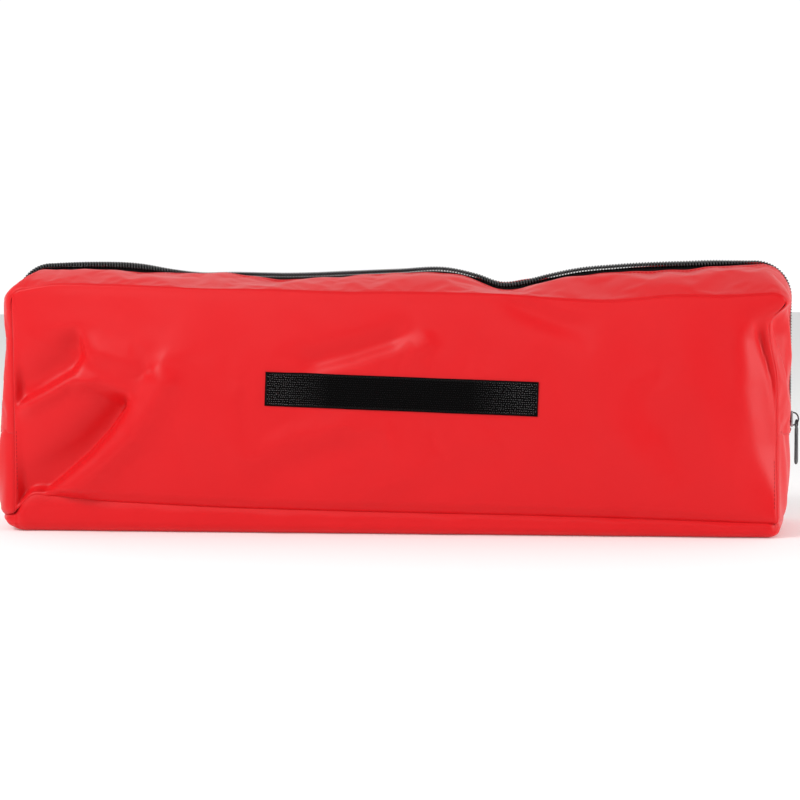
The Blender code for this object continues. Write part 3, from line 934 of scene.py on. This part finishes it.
# %% [markdown]
# ## Zip tape and coil
#
# The tape lies under the gusset's edge and shows as a narrow black band on each side of the coil.
# A coil zip has two flattened spirals of nylon wire, each wound round a cord. A spiral is one tube
# here: its centre line goes round a flat oval once a tooth while it moves along the zip, and the
# two spirals are half a tooth apart, so that their heads lie between each other.

# %% Tape
TAPE_REACH = 14.5 * MM
TAPE_EDGE = 1.2 * MM
TAPE_SINK = 1.2 * MM
TAPE_THICK = 0.6 * MM


def tape_points(side, columns=420, rows=8):
    """Grid from under the gusset to the tape's own edge, sunk deeper where the gusset covers it."""
    u = np.linspace(0, 1, columns)[:, None]
    y = side * np.linspace(TAPE_REACH, TAPE_EDGE, rows)[None, :]
    hidden = 1.6 * MM * ease(np.abs(y), ZIP_EDGE - 1 * MM, ZIP_EDGE + 3 * MM)
    return gusset_point(u, y, FRONT_SEAM_WAVE, TAPE_SINK + hidden, TAPE_FOOT)


for word, side, end in (("front", -1, "left"), ("back", 1, "right")):
    tape = thicken(surface(f"tape_{word}", tape_points(side), flip=side > 0), TAPE_THICK)
    dress(tape, TAPE_BLACK, "zip_tape", flap=f"{word}_flap",
          replaces=(f"zip_tape_{word}", f"zip_end_{end}"))
print("tape", round(TAPE_REACH - TAPE_EDGE, 4), "m wide on each side")

# %% Coil
COIL_PITCH = 2.2 * MM
COIL_TURN_POINTS = 10
COIL_MIDDLE = 1.25 * MM
COIL_REACH = 1.55 * MM
CORD_POINTS = 700
LOW_FROM, LOW_TO = 0.78, 0.84


def tube(centre, radius, sides, guide):
    """Rings round a centre line: each ring is a circle square to the line, turned by the guide
    direction."""
    tangent = unit(np.gradient(centre, axis=0))
    across = unit(np.cross(tangent, guide))
    upward = np.cross(across, tangent)
    angle = np.linspace(0, 2 * np.pi, sides, endpoint=False)
    radius = np.broadcast_to(radius, len(centre))[:, None, None]
    ring = np.cos(angle)[None, :, None] * across[:, None] + np.sin(angle)[None, :, None] * upward[:, None]
    return centre[:, None] + radius * ring


def close_ends(points):
    """Add a tiny ring at each end of a tube, so that its ends are closed."""
    first = points[:1].mean(axis=1, keepdims=True)
    last = points[-1:].mean(axis=1, keepdims=True)
    tiny = 0.02
    return np.concatenate([first + (points[:1] - first) * tiny, points, last + (points[-1:] - last) * tiny])


def zip_walk(steps=4001):
    """The zip line cut into short steps of u, and how far along the line each step is."""
    u = np.linspace(0, 1, steps)
    x, z = zip_line(u)[:2]
    return u, np.concatenate([[0], np.cumsum(np.hypot(np.diff(x), np.diff(z)))])


ZIP_STEPS, ZIP_WALKED = zip_walk()
ZIP_LENGTH = ZIP_WALKED[-1]
TURNS = int(ZIP_LENGTH / COIL_PITCH) - 3


def place_on_zip(share):
    """The u at a share of the zip's length."""
    return np.interp(share * ZIP_LENGTH, ZIP_WALKED, ZIP_STEPS)


def coil_centre(side):
    """Flat oval walked once a turn: its outer half is wide of the zip's middle, its inner half
    crosses it."""
    turn = np.arange(TURNS * COIL_TURN_POINTS) / COIL_TURN_POINTS + (0.5 if side > 0 else 0) + 1
    angle = 2 * np.pi * turn
    oval = np.sign(np.cos(angle)) * np.abs(np.cos(angle)) ** 0.8
    slant = 0.16 * np.sin(angle)
    share = (turn + slant) * COIL_PITCH / ZIP_LENGTH
    y = side * (COIL_MIDDLE - COIL_REACH * oval)
    height = (0.75 + 0.4 * standing(share)) * MM * np.sin(angle)
    u = place_on_zip(share)
    return gusset_point(u, y, FRONT_SEAM_WAVE, TAPE_SINK - coil_lift(share) - height)


def standing(share):
    """The coil stands proud along the top and lies flat on the right end, where the slider runs."""
    return 1 - ease(share, LOW_FROM, LOW_TO)


def coil_lift(share):
    """How far the middle of the coil is above the tape."""
    return (1.25 + 0.6 * standing(share)) * MM


def wire_radius(share):
    return (0.40 + 0.15 * standing(share)) * MM


def cord_radius(share):
    return (0.25 + 0.5 * standing(share)) * MM


def cord_centre(side, share):
    """The filler cord inside the coil."""
    depth = TAPE_SINK - coil_lift(share)
    return gusset_point(place_on_zip(share), side * COIL_MIDDLE, FRONT_SEAM_WAVE, depth)


for word, side in (("front", -1), ("back", 1)):
    centre = coil_centre(side)
    share = np.linspace(0, 1, len(centre))
    middle = gusset_point(place_on_zip(share), 0 * centre[:, 0], FRONT_SEAM_WAVE)
    run = unit(np.gradient(middle, axis=0))
    rings = close_ends(tube(centre, wire_radius(share), 6, run))
    coil = surface(f"coil_{word}", rings, wrap_columns=True)
    dress(coil, COIL_BLACK, "zip_coil", flap=f"{word}_flap", replaces=(f"zip_coil_{word}",))
    share = (1.5 + np.linspace(0, TURNS - 1, CORD_POINTS)) * COIL_PITCH / ZIP_LENGTH
    sideways = np.tile([0.0, 1.0, 0.0], (CORD_POINTS, 1))
    rings = close_ends(tube(cord_centre(side, share), cord_radius(share), 8, sideways))
    cord = surface(f"cord_{word}", rings, wrap_columns=True)
    dress(cord, TAPE_BLACK, "zip_coil", flap=f"{word}_flap")
print("zip", round(ZIP_LENGTH, 3), "m with", TURNS, "turns a side")

# %% [markdown]
# ## Hook strip
#
# The strip is sewn flat on the front cloth, so its points are looked up on the settled cloth and
# lifted by the tape's thickness. It is 25 mm wide and not quite level. Its hooks stand in rows, each
# a short bent wire; towards its two ends they carry painted glints, grey patches in their colour, and in
# its middle they are black.

# %% Lookups on a settled grid
STRIP_LOW, STRIP_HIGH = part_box("hook_strip")
STRIP_LENGTH = 201 * MM
STRIP_WIDTH = 25 * MM
STRIP_TILT = math.radians(-2.1)
STRIP_SHIFT = (2.6 * MM, 2.0 * MM)
GROUND = 1.0 * MM


def sample(grid, s, t):
    """Value of a grid between its points, weighted by how near the four neighbours are."""
    s = np.clip(s, 0, grid.shape[0] - 1.001)
    t = np.clip(t, 0, grid.shape[1] - 1.001)
    i, j = s.astype(int), t.astype(int)
    a, b = (s - i)[..., None], (t - j)[..., None]
    near = grid[i, j] * (1 - b) + grid[i, j + 1] * b
    far = grid[i + 1, j] * (1 - b) + grid[i + 1, j + 1] * b
    return near * (1 - a) + far * a


def on_front(x, z):
    """Cloth point and outward direction of the front panel near x and z."""
    low = wave_at(x, BOTTOM_SEAM)
    top = SHOULDER + wave_at(x, FRONT_SEAM_WAVE)
    s = (x / SEAM_HALF + 1) / 2 * (front_points.shape[0] - 1)
    t = (z - low) / (top - low) * (front_points.shape[1] - 1)
    return sample(front_points, s, t), unit(sample(front_normals, s, t))


def on_strip(along, across):
    """Place on the strip, counted in metres from its middle."""
    cos, sin = math.cos(STRIP_TILT), math.sin(STRIP_TILT)
    x = (STRIP_LOW.x + STRIP_HIGH.x) / 2 + STRIP_SHIFT[0] + along * cos - across * sin
    z = (STRIP_LOW.z + STRIP_HIGH.z) / 2 + STRIP_SHIFT[1] + along * sin + across * cos
    return on_front(x, z)


def strip_grid(long_share, wide_share):
    """Places on the strip for shares of its length and width, as two grids."""
    return np.meshgrid(long_share * STRIP_LENGTH, wide_share * STRIP_WIDTH, indexing="ij")


front_normals = grid_normals(front_points)
along, across = strip_grid(np.linspace(-0.5, 0.5, 121), np.linspace(-0.5, 0.5, 17))
at, facing = on_strip(along, across)
rim = np.minimum(STRIP_LENGTH / 2 - np.abs(along), STRIP_WIDTH / 2 - np.abs(across))[..., None]
lifted = at + facing * (GROUND - 0.3 * MM * np.exp(-rim / (0.8 * MM)))
ground = thicken(surface("strip_ground", lifted), GROUND * 0.9)
dress(ground, GROUND_BLACK, "hook_strip", flap="front_flap", replaces=("hook_strip",))
print("hook strip", STRIP_LENGTH, "x", STRIP_WIDTH)


# %% Repeated small shapes
def tube_shape(path, radius, sides, flat=1.0):
    """A closed tube as points and faces, to be repeated: for hooks and stitches."""
    path = np.array(path, float)
    rings = tube(path, np.array(radius, float), sides, np.array([0.0, 1.0, 0.0]))
    rings[..., 2] *= flat
    return rings.reshape(-1, 3), grid_faces(len(path), sides, wrap_columns=True)[0]


def scatter(name, shape, place, along, up):
    """Repeat a shape: its X follows along, its Z follows up, and its origin is put at each place."""
    points, faces = shape
    side = unit(np.cross(up, along))
    square = np.stack([along, side, np.cross(along, side)], axis=1)
    repeated = place[:, None] + np.einsum("kc,ncd->nkd", points, square)
    numbers = faces[None] + np.arange(len(place))[:, None, None] * len(points)
    return make_object(name, repeated, numbers.reshape(-1, 4))


HOOK_PATH = np.array([[0, 0, 0], [0, 0, 0.55], [0.06, 0, 0.95], [0.34, 0, 1.18], [0.62, 0, 1.02],
                      [0.7, 0, 0.74]]) * MM
HOOK_RADII = np.array([0.14, 0.13, 0.12, 0.11, 0.10, 0.03]) * MM
HOOK_SCATTER = 0.12 * MM
rows, columns = 14, 118
a, b = strip_grid(np.linspace(-0.487, 0.487, columns), np.linspace(-0.42, 0.42, rows))
a = (a + 0.8 * MM * (np.arange(rows) % 2) + rng.normal(0, HOOK_SCATTER, a.shape)).ravel()
b = (b + rng.normal(0, HOOK_SCATTER, b.shape)).ravel()
at, facing = on_strip(a, b)
turned = rng.normal(0, 0.35, len(a)) + np.pi * (np.arange(len(a)) % rows % 2)
level = unit(np.cross(facing, [0.0, 0.0, 1.0]))
raised = np.cross(level, facing)
heading = unit(np.cos(turned)[:, None] * level + np.sin(turned)[:, None] * raised)
lean = unit(facing + 0.12 * rng.normal(size=facing.shape))
heading = unit(heading - lean * (heading * lean).sum(axis=1, keepdims=True))
hook = tube_shape(HOOK_PATH, HOOK_RADII, 4)
hooks = scatter("hooks", hook, at + facing * GROUND * 0.9, heading, lean)
dress(hooks, HOOK_BLACK, "hook_strip", flap="front_flap")
print("hooks", len(a))

# %% [markdown]
# ## Stitches
#
# A lockstitch shows as a row of short dashes. One dash is a small flattened capsule, and rows of it
# follow the zip, the strip's border, the cross seams under the zip and the front's two lower
# corners.

# %% Stitches
STITCH_PATH = np.outer([-1.05, -0.95, -0.5, 0.5, 0.95, 1.05], [1, 0, 0]) * MM
STITCH_RADII = np.array([0.04, 0.22, 0.3, 0.3, 0.22, 0.04]) * MM
STITCH = tube_shape(STITCH_PATH, STITCH_RADII, 6, 0.7)
STITCH_PITCH = 3.0 * MM


def dashes(line, facing, pitch=STITCH_PITCH, lift=0.05 * MM):
    """Places, directions and outward directions at equal steps along a line."""
    step = np.linalg.norm(np.diff(line, axis=0), axis=1)
    walked = np.concatenate([[0], np.cumsum(step)])
    wanted = np.arange(pitch, walked[-1] - pitch / 2, pitch)

    def at_wanted(values):
        return np.stack([np.interp(wanted, walked, values[:, k]) for k in range(3)], axis=1)

    place = at_wanted(line)
    up = unit(at_wanted(facing))
    along = unit(at_wanted(np.gradient(line, walked, axis=0)))
    along = unit(along - up * (along * up).sum(axis=1, keepdims=True))
    return place + up * lift, along, up


def stitch_rows(name, rows, material, slot, **body):
    """One object for several rows of stitches."""
    place, along, up = (np.concatenate(parts) for parts in zip(*rows))
    return dress(scatter(name, STITCH, place, along, up), material, slot, **body)


def grid_row(grid, t, outward):
    """Line at column number t of a grid, with the directions that face outwards there."""
    j = int(t)
    return grid[:, j] * (1 - t + j) + grid[:, j + 1] * (t - j), grid_normals(grid)[:, j] * outward


for word, side in (("front", -1), ("back", 1)):
    grid = gussets[word]
    line, facing = grid_row(grid, grid.shape[1] - 3.2, -side)
    stitch_rows(f"stitches_zip_{word}", [dashes(line, facing)], RED_THREAD, "red_cloth",
                flap=f"{word}_flap")
borders = []
share = np.linspace(-0.485, 0.485, 200)
for inset in (0.45, -0.45):
    at, facing = on_strip(share * STRIP_LENGTH, np.full(len(share), inset * STRIP_WIDTH))
    borders.append(dashes(at, facing, 2.6 * MM, GROUND))
for inset in (0.494, -0.494):
    at, facing = on_strip(np.full(len(share), inset * STRIP_LENGTH), share * STRIP_WIDTH * 0.92)
    borders.append(dashes(at, facing, 2.6 * MM, GROUND))
stitch_rows("stitches_strip", borders, BLACK_THREAD, "hook_strip", flap="front_flap")
corners = []
for x, low, high in ((-SEAM_HALF + 2.6 * MM, 30 * MM, 78 * MM), (SEAM_HALF - 2.6 * MM, 20 * MM, 60 * MM)):
    heights = np.linspace(low, high, 80)
    at, facing = on_front(np.full(len(heights), x), heights)
    corners.append(dashes(at, facing))
stitch_rows("stitches_corner", corners, RED_THREAD, "red_cloth", flap="front_flap")
crossings = []
for side in (-1, 1):
    grid = ends["left" if side < 0 else "right"]
    level = grid.shape[1] - 4
    middle = slice(grid.shape[0] // 2 - 8, grid.shape[0] // 2 + 9)
    crossings.append(dashes(grid[middle, level], grid_normals(grid)[middle, level] * side, 2.8 * MM))
stitch_rows("stitches_end", crossings, RED_THREAD, "red_cloth", body="root")
print("stitches on the strip", sum(len(places) for places, _, _ in borders))

# %% [markdown]
# ## Slider, bridge and tab
#
# The slider has two plates, over and under the zip, with rims that lead the coils and a neck that
# parts them. Plates, rims, neck, stops and the tab's blade are lofts: rings of a superellipse along
# a centre line, from a pill to nearly a rectangle by its exponent. The tab hangs by its eye from a
# bridge of round wire.


# %% Lofts
def loft(centre, half_a, half_b, axis_a, axis_b, power=4.0, sides=24):
    """Closed rings |a|^p + |b|^p = 1 along a centre line, with the two half widths given at each
    point."""
    angle = np.linspace(0, 2 * np.pi, sides, endpoint=False)
    a = np.sign(np.cos(angle)) * np.abs(np.cos(angle)) ** (2 / power)
    b = np.sign(np.sin(angle)) * np.abs(np.sin(angle)) ** (2 / power)
    centre = np.array(centre, float)
    half_a = np.broadcast_to(half_a, len(centre))[:, None, None]
    half_b = np.broadcast_to(half_b, len(centre))[:, None, None]
    rings = centre[:, None] + half_a * a[None, :, None] * np.array(axis_a, float)
    return close_ends(rings + half_b * b[None, :, None] * np.array(axis_b, float))


def bar(start, end, half_a, half_b, axis_a, axis_b, power=4.0, soft=0.3 * MM):
    """A straight loft whose ends are rounded over the length soft."""
    start, end = np.array(start, float), np.array(end, float)
    length = np.linalg.norm(end - start)
    along = np.array([0, 0.3 * soft, soft, length / 2, length - soft, length - 0.3 * soft, length])
    shrink = soft * np.array([1, 0.4, 0, 0, 0, 0.4, 1])
    centre = start + (end - start) * (along / length)[:, None]
    return loft(centre, half_a - shrink, half_b - shrink, axis_a, axis_b, power)


def outward_faces(shape):
    """Faces of a closed grid, turned so that the volume they enclose counts as positive."""
    points = shape.reshape(-1, 3)
    faces = grid_faces(*shape.shape[:2], wrap_columns=True)[0]
    a, b, c, d = (points[faces[:, k]] for k in range(4))
    volume = np.einsum("ij,ij->", np.cross(c - a, d - b), a + b + c + d)
    return faces if volume > 0 else faces[:, ::-1]


def join_meshes(name, shapes):
    """Several closed grids as one object."""
    points = np.concatenate([s.reshape(-1, 3) for s in shapes])
    counts = np.cumsum([0] + [s.shape[0] * s.shape[1] for s in shapes])
    faces = np.concatenate([outward_faces(s) + c for s, c in zip(shapes, counts)])
    return make_object(name, points, faces)


X_AXIS, Y_AXIS, Z_AXIS = np.eye(3)

# %% Slider
slider_low, slider_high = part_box("slider_body")
height = slider_high.z - slider_low.z
share = np.array([0, 0.04, 0.12, 0.3, 0.5, 0.7, 0.88, 0.96, 1.0])
plate_half = np.array([2.6, 3.5, 3.95, 4.0, 3.7, 3.3, 3.05, 2.8, 2.2]) * MM
plate_thick = np.array([0.35, 0.5, 0.6, 0.6, 0.6, 0.6, 0.6, 0.5, 0.35]) * MM
PLATE_MIDDLE = 0.6 * MM
parts = []
for x, inwards in ((slider_high.x - PLATE_MIDDLE, -1), (slider_low.x + PLATE_MIDDLE, 1)):
    heights = slider_low.z + share * height
    centre = np.stack([np.full(len(share), x), np.zeros(len(share)), heights], axis=1)
    parts.append(loft(centre, plate_half, plate_thick, Y_AXIS, X_AXIS, 5))
    for side in (-1, 1):
        rim = centre + np.outer(side * (plate_half - 0.35 * MM), Y_AXIS) + inwards * 0.55 * MM * X_AXIS
        parts.append(loft(rim[1:-1], 0.34 * MM, 0.5 * MM, Y_AXIS, X_AXIS, 3))
neck_height = slider_low.z + 2.2 * MM
neck_start = (slider_low.x + 1 * MM, 0, neck_height)
neck_end = (slider_high.x - 1 * MM, 0, neck_height)
parts.append(bar(neck_start, neck_end, 0.7 * MM, 1.2 * MM, Y_AXIS, Z_AXIS, 2.5))
plates = join_meshes("slider_plates", parts)
dress(plates, GREY_METAL, "slider_metal", body="slider", replaces=("slider_body",))
print("slider", round(height, 4), "m long in", len(parts), "parts")

# %% Bridge
bridge_low, bridge_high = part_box("slider_bridge")
WIRE = (bridge_high.y - bridge_low.y) / 2
angle = np.linspace(-0.12, np.pi + 0.12, 33)
middle = (bridge_low.z + bridge_high.z) / 2
rise = bridge_high.x - bridge_low.x - WIRE
arch = np.stack([bridge_low.x + rise * np.sin(angle), 0 * angle,
                 middle + (bridge_high.z - middle - WIRE) * np.cos(angle)], axis=1)
bridge = join_meshes("bridge_wire", [close_ends(tube(arch, WIRE, 12, Y_AXIS))])
dress(bridge, BLACK_METAL, "bridge_metal", body="slider", replaces=("slider_bridge",))
print("bridge wire radius", round(WIRE, 5))

# %% Tab
tab_low, tab_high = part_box("puller_tab")
TAB_X = (tab_low.x + tab_high.x) / 2
TAB_HALF = (tab_high.y - tab_low.y) / 2
TAB_THICK_HALF = 0.5 * MM
EYE_RIM = 1.2 * MM
turn = np.linspace(0, 2 * np.pi, 49)
eye_height = tab_high.z - TAB_HALF + 0.3 * MM
TAB_TWIST = math.radians(24)
TAB_WIDE = np.array([math.sin(TAB_TWIST), math.cos(TAB_TWIST), 0])
TAB_OUT = np.array([math.cos(TAB_TWIST), -math.sin(TAB_TWIST), 0])
radial = np.outer(np.sin(turn), TAB_WIDE) + np.outer(np.cos(turn), Z_AXIS)
eye = np.array([TAB_X, 0, eye_height]) + (TAB_HALF - EYE_RIM) * radial
ring_angle = np.linspace(0, 2 * np.pi, 16, endpoint=False)
rings = (eye[:, None] + EYE_RIM * np.cos(ring_angle)[None, :, None] * radial[:, None]
         + TAB_THICK_HALF * np.sin(ring_angle)[None, :, None] * TAB_OUT)
share = np.array([0, 0.02, 0.06, 0.13, 0.3, 0.6, 0.85, 0.93, 0.97, 1.0])
blade_half = TAB_HALF * np.array([0.62, 0.8, 0.9, 0.93, 0.9, 0.94, 1.0, 0.93, 0.78, 0.5])
blade_thick = TAB_THICK_HALF * np.array([0.7, 0.9, 1, 1, 1, 1, 1, 1, 0.85, 0.6])
top = eye_height - 2.2 * MM
heights = top + (tab_low.z - top) * share
centre = np.stack([np.full(len(share), TAB_X), np.zeros(len(share)), heights], axis=1)
blade = loft(centre, blade_half, blade_thick, TAB_WIDE, TAB_OUT, 4)
field_ends = (TAB_X, 0, top - 5 * MM), (TAB_X, 0, tab_low.z + 4 * MM)
field = bar(*field_ends, 2.1 * MM, 0.66 * MM, TAB_WIDE, TAB_OUT, 3, 0.12 * MM)
tab = join_meshes("tab_plate", [rings, blade, field])
dress(tab, GUNMETAL, "tab_metal", body="tab", replaces=("puller_tab",))
print("tab", round(2 * TAB_HALF, 4), "m wide, turned", round(math.degrees(TAB_TWIST)), "degrees")

# %% Stops
for word in ("left", "right"):
    low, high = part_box(f"zip_stop_{word}")
    x, z = (low.x + high.x) / 2, (low.z + high.z) / 2
    clamp = bar((x, low.y, z), (x, high.y, z), 1.0 * MM, 1.1 * MM, X_AXIS, Z_AXIS, 4, 0.4 * MM)
    stop = join_meshes(f"stop_{word}", [clamp])
    dress(stop, COIL_BLACK, "zip_coil", body="root", replaces=(f"zip_stop_{word}",))
    print("stop", word, "at", round(x, 4), round(z, 4))

# %% [markdown]
# ## Folded blanket
#
# The blanket is 1.6 m by 2.0 m. It is folded in three over its width and then zigzag over its
# length, so the pack shows eighteen runs of three layers at its long sides. One grid does it: its
# first direction goes to and fro along X while it steps through the three layers, its second one
# follows the zigzag, and each layer stands off the zigzag's middle line by its own distance. The
# pack slumps a little, and it is pressed in where the deep crease of the front stands against it.

# %% Blanket
pack_low, pack_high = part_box("blanket_pack")
RUNS = 18
LAYER = 2.65 * MM
FELT = 2.1 * MM
RUN_PITCH = (pack_high.z - pack_low.z) / RUNS
PRESSED_IN = 4.5 * MM


def zigzag(straight=9, turn=9):
    """Middle line of the runs in Y and Z, with its square direction. Each run ends in a half circle."""
    radius = RUN_PITCH / 2
    reach = pack_high.y - radius - LAYER - FELT / 2
    per_run = straight + turn
    count = np.arange(RUNS * per_run - turn)
    run, phase = count // per_run, count % per_run
    way = np.where(run % 2 == 0, 1.0, -1.0)
    on_turn = phase >= straight
    angle = np.where(on_turn, (phase - straight + 0.5) / turn * np.pi - np.pi / 2, -np.pi / 2)
    reach = reach - 1.6 * MM * np.random.default_rng(5).uniform(0, 1, RUNS)[run]
    y = np.where(on_turn, reach + radius * np.cos(angle), reach * (2 * phase / straight - 1))
    z = pack_low.z + radius * (1 + 2 * run) + np.where(on_turn, radius * (1 + np.sin(angle)), 0)
    return way * y, z, np.stack([way * np.cos(angle), -np.sin(angle)], axis=1)


def threefold(straight=18, turn=7):
    """To and fro along X, with the distance of each point from the middle layer."""
    half = pack_high.x - LAYER / 2 - FELT / 2
    per_layer = straight + turn
    count = np.arange(3 * per_layer - turn)
    layer, phase = count // per_layer, count % per_layer
    way = np.where(layer % 2 == 0, 1.0, -1.0)
    on_turn = phase >= straight
    angle = (phase - straight + 0.5) / turn * np.pi
    x = np.where(on_turn, half + LAYER / 2 * np.sin(angle), half * (2 * phase / straight - 1))
    off = LAYER * (layer - 1) + np.where(on_turn, LAYER / 2 * (1 - np.cos(angle)), 0)
    return way * x, off


def blanket_points():
    """The folded sheet: the zigzag's middle line, plus each layer's distance times the direction
    square to it, shifted and slumped by slow waves."""
    y, z, square = zigzag()
    x, off = threefold()
    shift = 1.5 * MM * ripples(np.arange(len(y)) * 8 * MM, [700, 310, 190], 51)
    x = x[:, None] + shift[None, :]
    rows = np.stack([x, y[None, :] + off[:, None] * square[None, :, 0],
                     z[None, :] + off[:, None] * square[None, :, 1]], axis=-1)
    slump = 1.5 * MM * ripples(rows[..., 0], [420, 230, 150], 52) * rows[..., 2] / pack_high.z
    rows[..., 1] += slump
    tall = ease(rows[..., 2], 25 * MM, 50 * MM) * (1 - ease(rows[..., 2], 115 * MM, 140 * MM))
    left_front = ease(-rows[..., 0], 0.14, 0.19) * ease(-rows[..., 1], 0.02, 0.05)
    rows[..., 1] += PRESSED_IN * tall * left_front
    settled = (1 + ripples(rows[..., 0] + rows[..., 1], [260, 140], 53)) / 2
    rows[..., 2] -= 1.2 * MM * settled * rows[..., 2] / pack_high.z
    return rows


felt = surface("blanket_cloth", blanket_points())
thicken(felt, FELT).modifiers["wall"].offset = 0
dress(felt, WOOL, "wool", body="blanket", replaces=("blanket_pack",))
print("blanket", len(felt.data.vertices), "points")

# %% [markdown]
# ## Pull tapes
#
# Two loops of webbing are sewn to the top layer. Each is one band that runs out flat, turns at its
# tip and comes back a little higher, down to the stitched foot.

# %% Pull tapes
WEB = 0.8 * MM
# the stitched foot, in mm from the loop's root and across it: a box with its diagonals
FOOT_KNOTS = [(2, -10), (16, -10), (16, 10), (2, 10), (2, -10), (16, 10), (2, 10), (16, -10)]


def loop_profile(length, straight=26, turn=9):
    """Distance from the root and height of the band's middle: out along the bottom, round, and back."""
    lift = 3.2 * MM
    out = np.linspace(0, length - lift / 2 - WEB, straight)
    angle = np.linspace(-np.pi / 2, np.pi / 2, turn)[1:-1]
    back = out[::-1]
    high = WEB + (lift - WEB) * ease(back, 18 * MM, 56 * MM)
    away = np.concatenate([out, out[-1] + lift / 2 * np.cos(angle), back])
    height = np.concatenate([0 * out, lift / 2 * (1 + np.sin(angle)), high])
    return away, height


for word, side in (("left", -1), ("right", 1)):
    low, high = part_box(f"pull_tape_{word}")
    root = high.x if side < 0 else low.x
    away, height = loop_profile(high.x - low.x)
    width = np.linspace(low.y, high.y, 11)
    bow = 0.25 * MM * np.cos(width / high.y * np.pi / 2)
    points = np.stack(np.broadcast_arrays(root + side * away[:, None], width[None, :],
                                          low.z + WEB / 2 + height[:, None] + bow[None, :]), axis=-1)
    band = surface(f"pull_loop_{word}", points, flip=side < 0)
    thicken(band, WEB).modifiers["wall"].offset = 0
    dress(band, WEBBING, "webbing", body=f"{word}_pull_tape", replaces=(f"pull_tape_{word}",))
    top = low.z + 2 * WEB + 0.25 * MM
    knots = np.array(FOOT_KNOTS) * MM
    rows = []
    for first, last in zip(knots[:-1], knots[1:]):
        flat = first + (last - first) * np.linspace(0, 1, 12)[:, None]
        line = np.stack([root + side * flat[:, 0], flat[:, 1], np.full(len(flat), top)], axis=1)
        rows.append(dashes(line, np.tile(Z_AXIS, (len(flat), 1)), 2.8 * MM))
    stitch_rows(f"stitches_loop_{word}", rows, BLACK_THREAD, "webbing", body=f"{word}_pull_tape")
print("inside done")

# %% [markdown]
# ## Camera, light and floor
#
# The bag is seen nearly square from the front, from just above its ridge and a few degrees to the
# right, through a long lens. A pale floor, a surround that is bright behind the bag and above it and
# darker on the camera's side, and three soft lights give the even studio light that satin cloth
# needs to show its folds: one high on the left, a long one low in front, and one at the right end.



# %% Camera
def aimed(target, place):
    """Turn of a camera or light at place that looks at the target and stays level."""
    look = np.array(target) - np.array(place)
    return Euler((math.atan2(np.hypot(look[0], look[1]), -look[2]), 0, math.atan2(-look[0], look[1])))


DISTANCE = 1.60
TURN = math.radians(7)
EYE_HEIGHT = 0.205
AIM_HEIGHT = 0.0957
AIM_SIDE = 2.2 * MM
ROLL = math.radians(-0.35)
camera_data = bpy.data.cameras.new("camera")
camera = bpy.data.objects.new("camera", camera_data)
bpy.context.scene.collection.objects.link(camera)
camera_data.lens = 94.3
camera_data.sensor_width = 36
camera.location = (DISTANCE * math.sin(TURN), -DISTANCE * math.cos(TURN), EYE_HEIGHT)
facing = aimed((AIM_SIDE, 0, AIM_HEIGHT), camera.location)
camera.rotation_euler = (facing.to_matrix() @ Matrix.Rotation(ROLL, 3, "Z")).to_euler()
camera_data.clip_start = 0.01
bpy.context.scene.camera = camera
print("camera at", [round(v, 3) for v in camera.location])


# %% Floor and lights
def add_light(name, place, target, size, power):
    """A soft light: a glowing rectangle of that size in metres and power in watts."""
    data = bpy.data.lights.new(name, "AREA")
    data.shape = "RECTANGLE"
    data.size, data.size_y = size
    data.energy = power
    obj = bpy.data.objects.new(name, data)
    bpy.context.scene.collection.objects.link(obj)
    obj.location = place
    obj.rotation_euler = aimed(target, place)


add_light("key", (-1.35, -1.25, 1.6), (0, 0, 0.1), (1.0, 0.7), 29)
add_light("front", (-0.35, -2.0, 0.85), (0, 0, 0.15), (2.2, 0.3), 9)
add_light("right", (1.9, -0.4, 0.5), (0.1, 0, 0.1), (0.6, 0.9), 15)

FLOOR_HALF = 6.0
floor_corners = np.array([[-1, -1, 0], [1, -1, 0], [1, 1, 0], [-1, 1, 0]]) * FLOOR_HALF
floor = make_object("floor", floor_corners, np.array([[0, 1, 2, 3]]))
floor.data.materials.append(new_finish("floor", (0.9, 0.9, 0.9), 0.9, Emission_Color=(1, 1, 1, 1),
                                       Emission_Strength=0.12))
print("lights", len(bpy.data.lights))

# %% Surround
world = bpy.data.worlds.new("surround")
bpy.context.scene.world = world
world.use_nodes = True
backdrop = world.node_tree.nodes["Background"]
BEHIND_AND_UP = (0, 0.8, 0.6)
looked = node(world, "TexCoord").outputs["Generated"]
towards = node(world, "VectorMath", {"operation": "DOT_PRODUCT"}, i0=looked, i1=BEHIND_AND_UP)
spread = remap(world, towards.outputs["Value"], 0.12, 1.05, -0.3, 0.55)
upwards = node(world, "SeparateXYZ", Vector=looked).outputs["Z"]
overhead = remap(world, upwards, 1.0, 0.7, 0.25, 0.8)
strength = calculate(world, "MULTIPLY", spread, overhead)
world.node_tree.links.new(strength, backdrop.inputs["Strength"])
backdrop.inputs["Color"].default_value = (1, 1, 1, 1)
bpy.context.scene.view_settings.view_transform = "Standard"
bpy.context.scene.view_settings.look = "None"
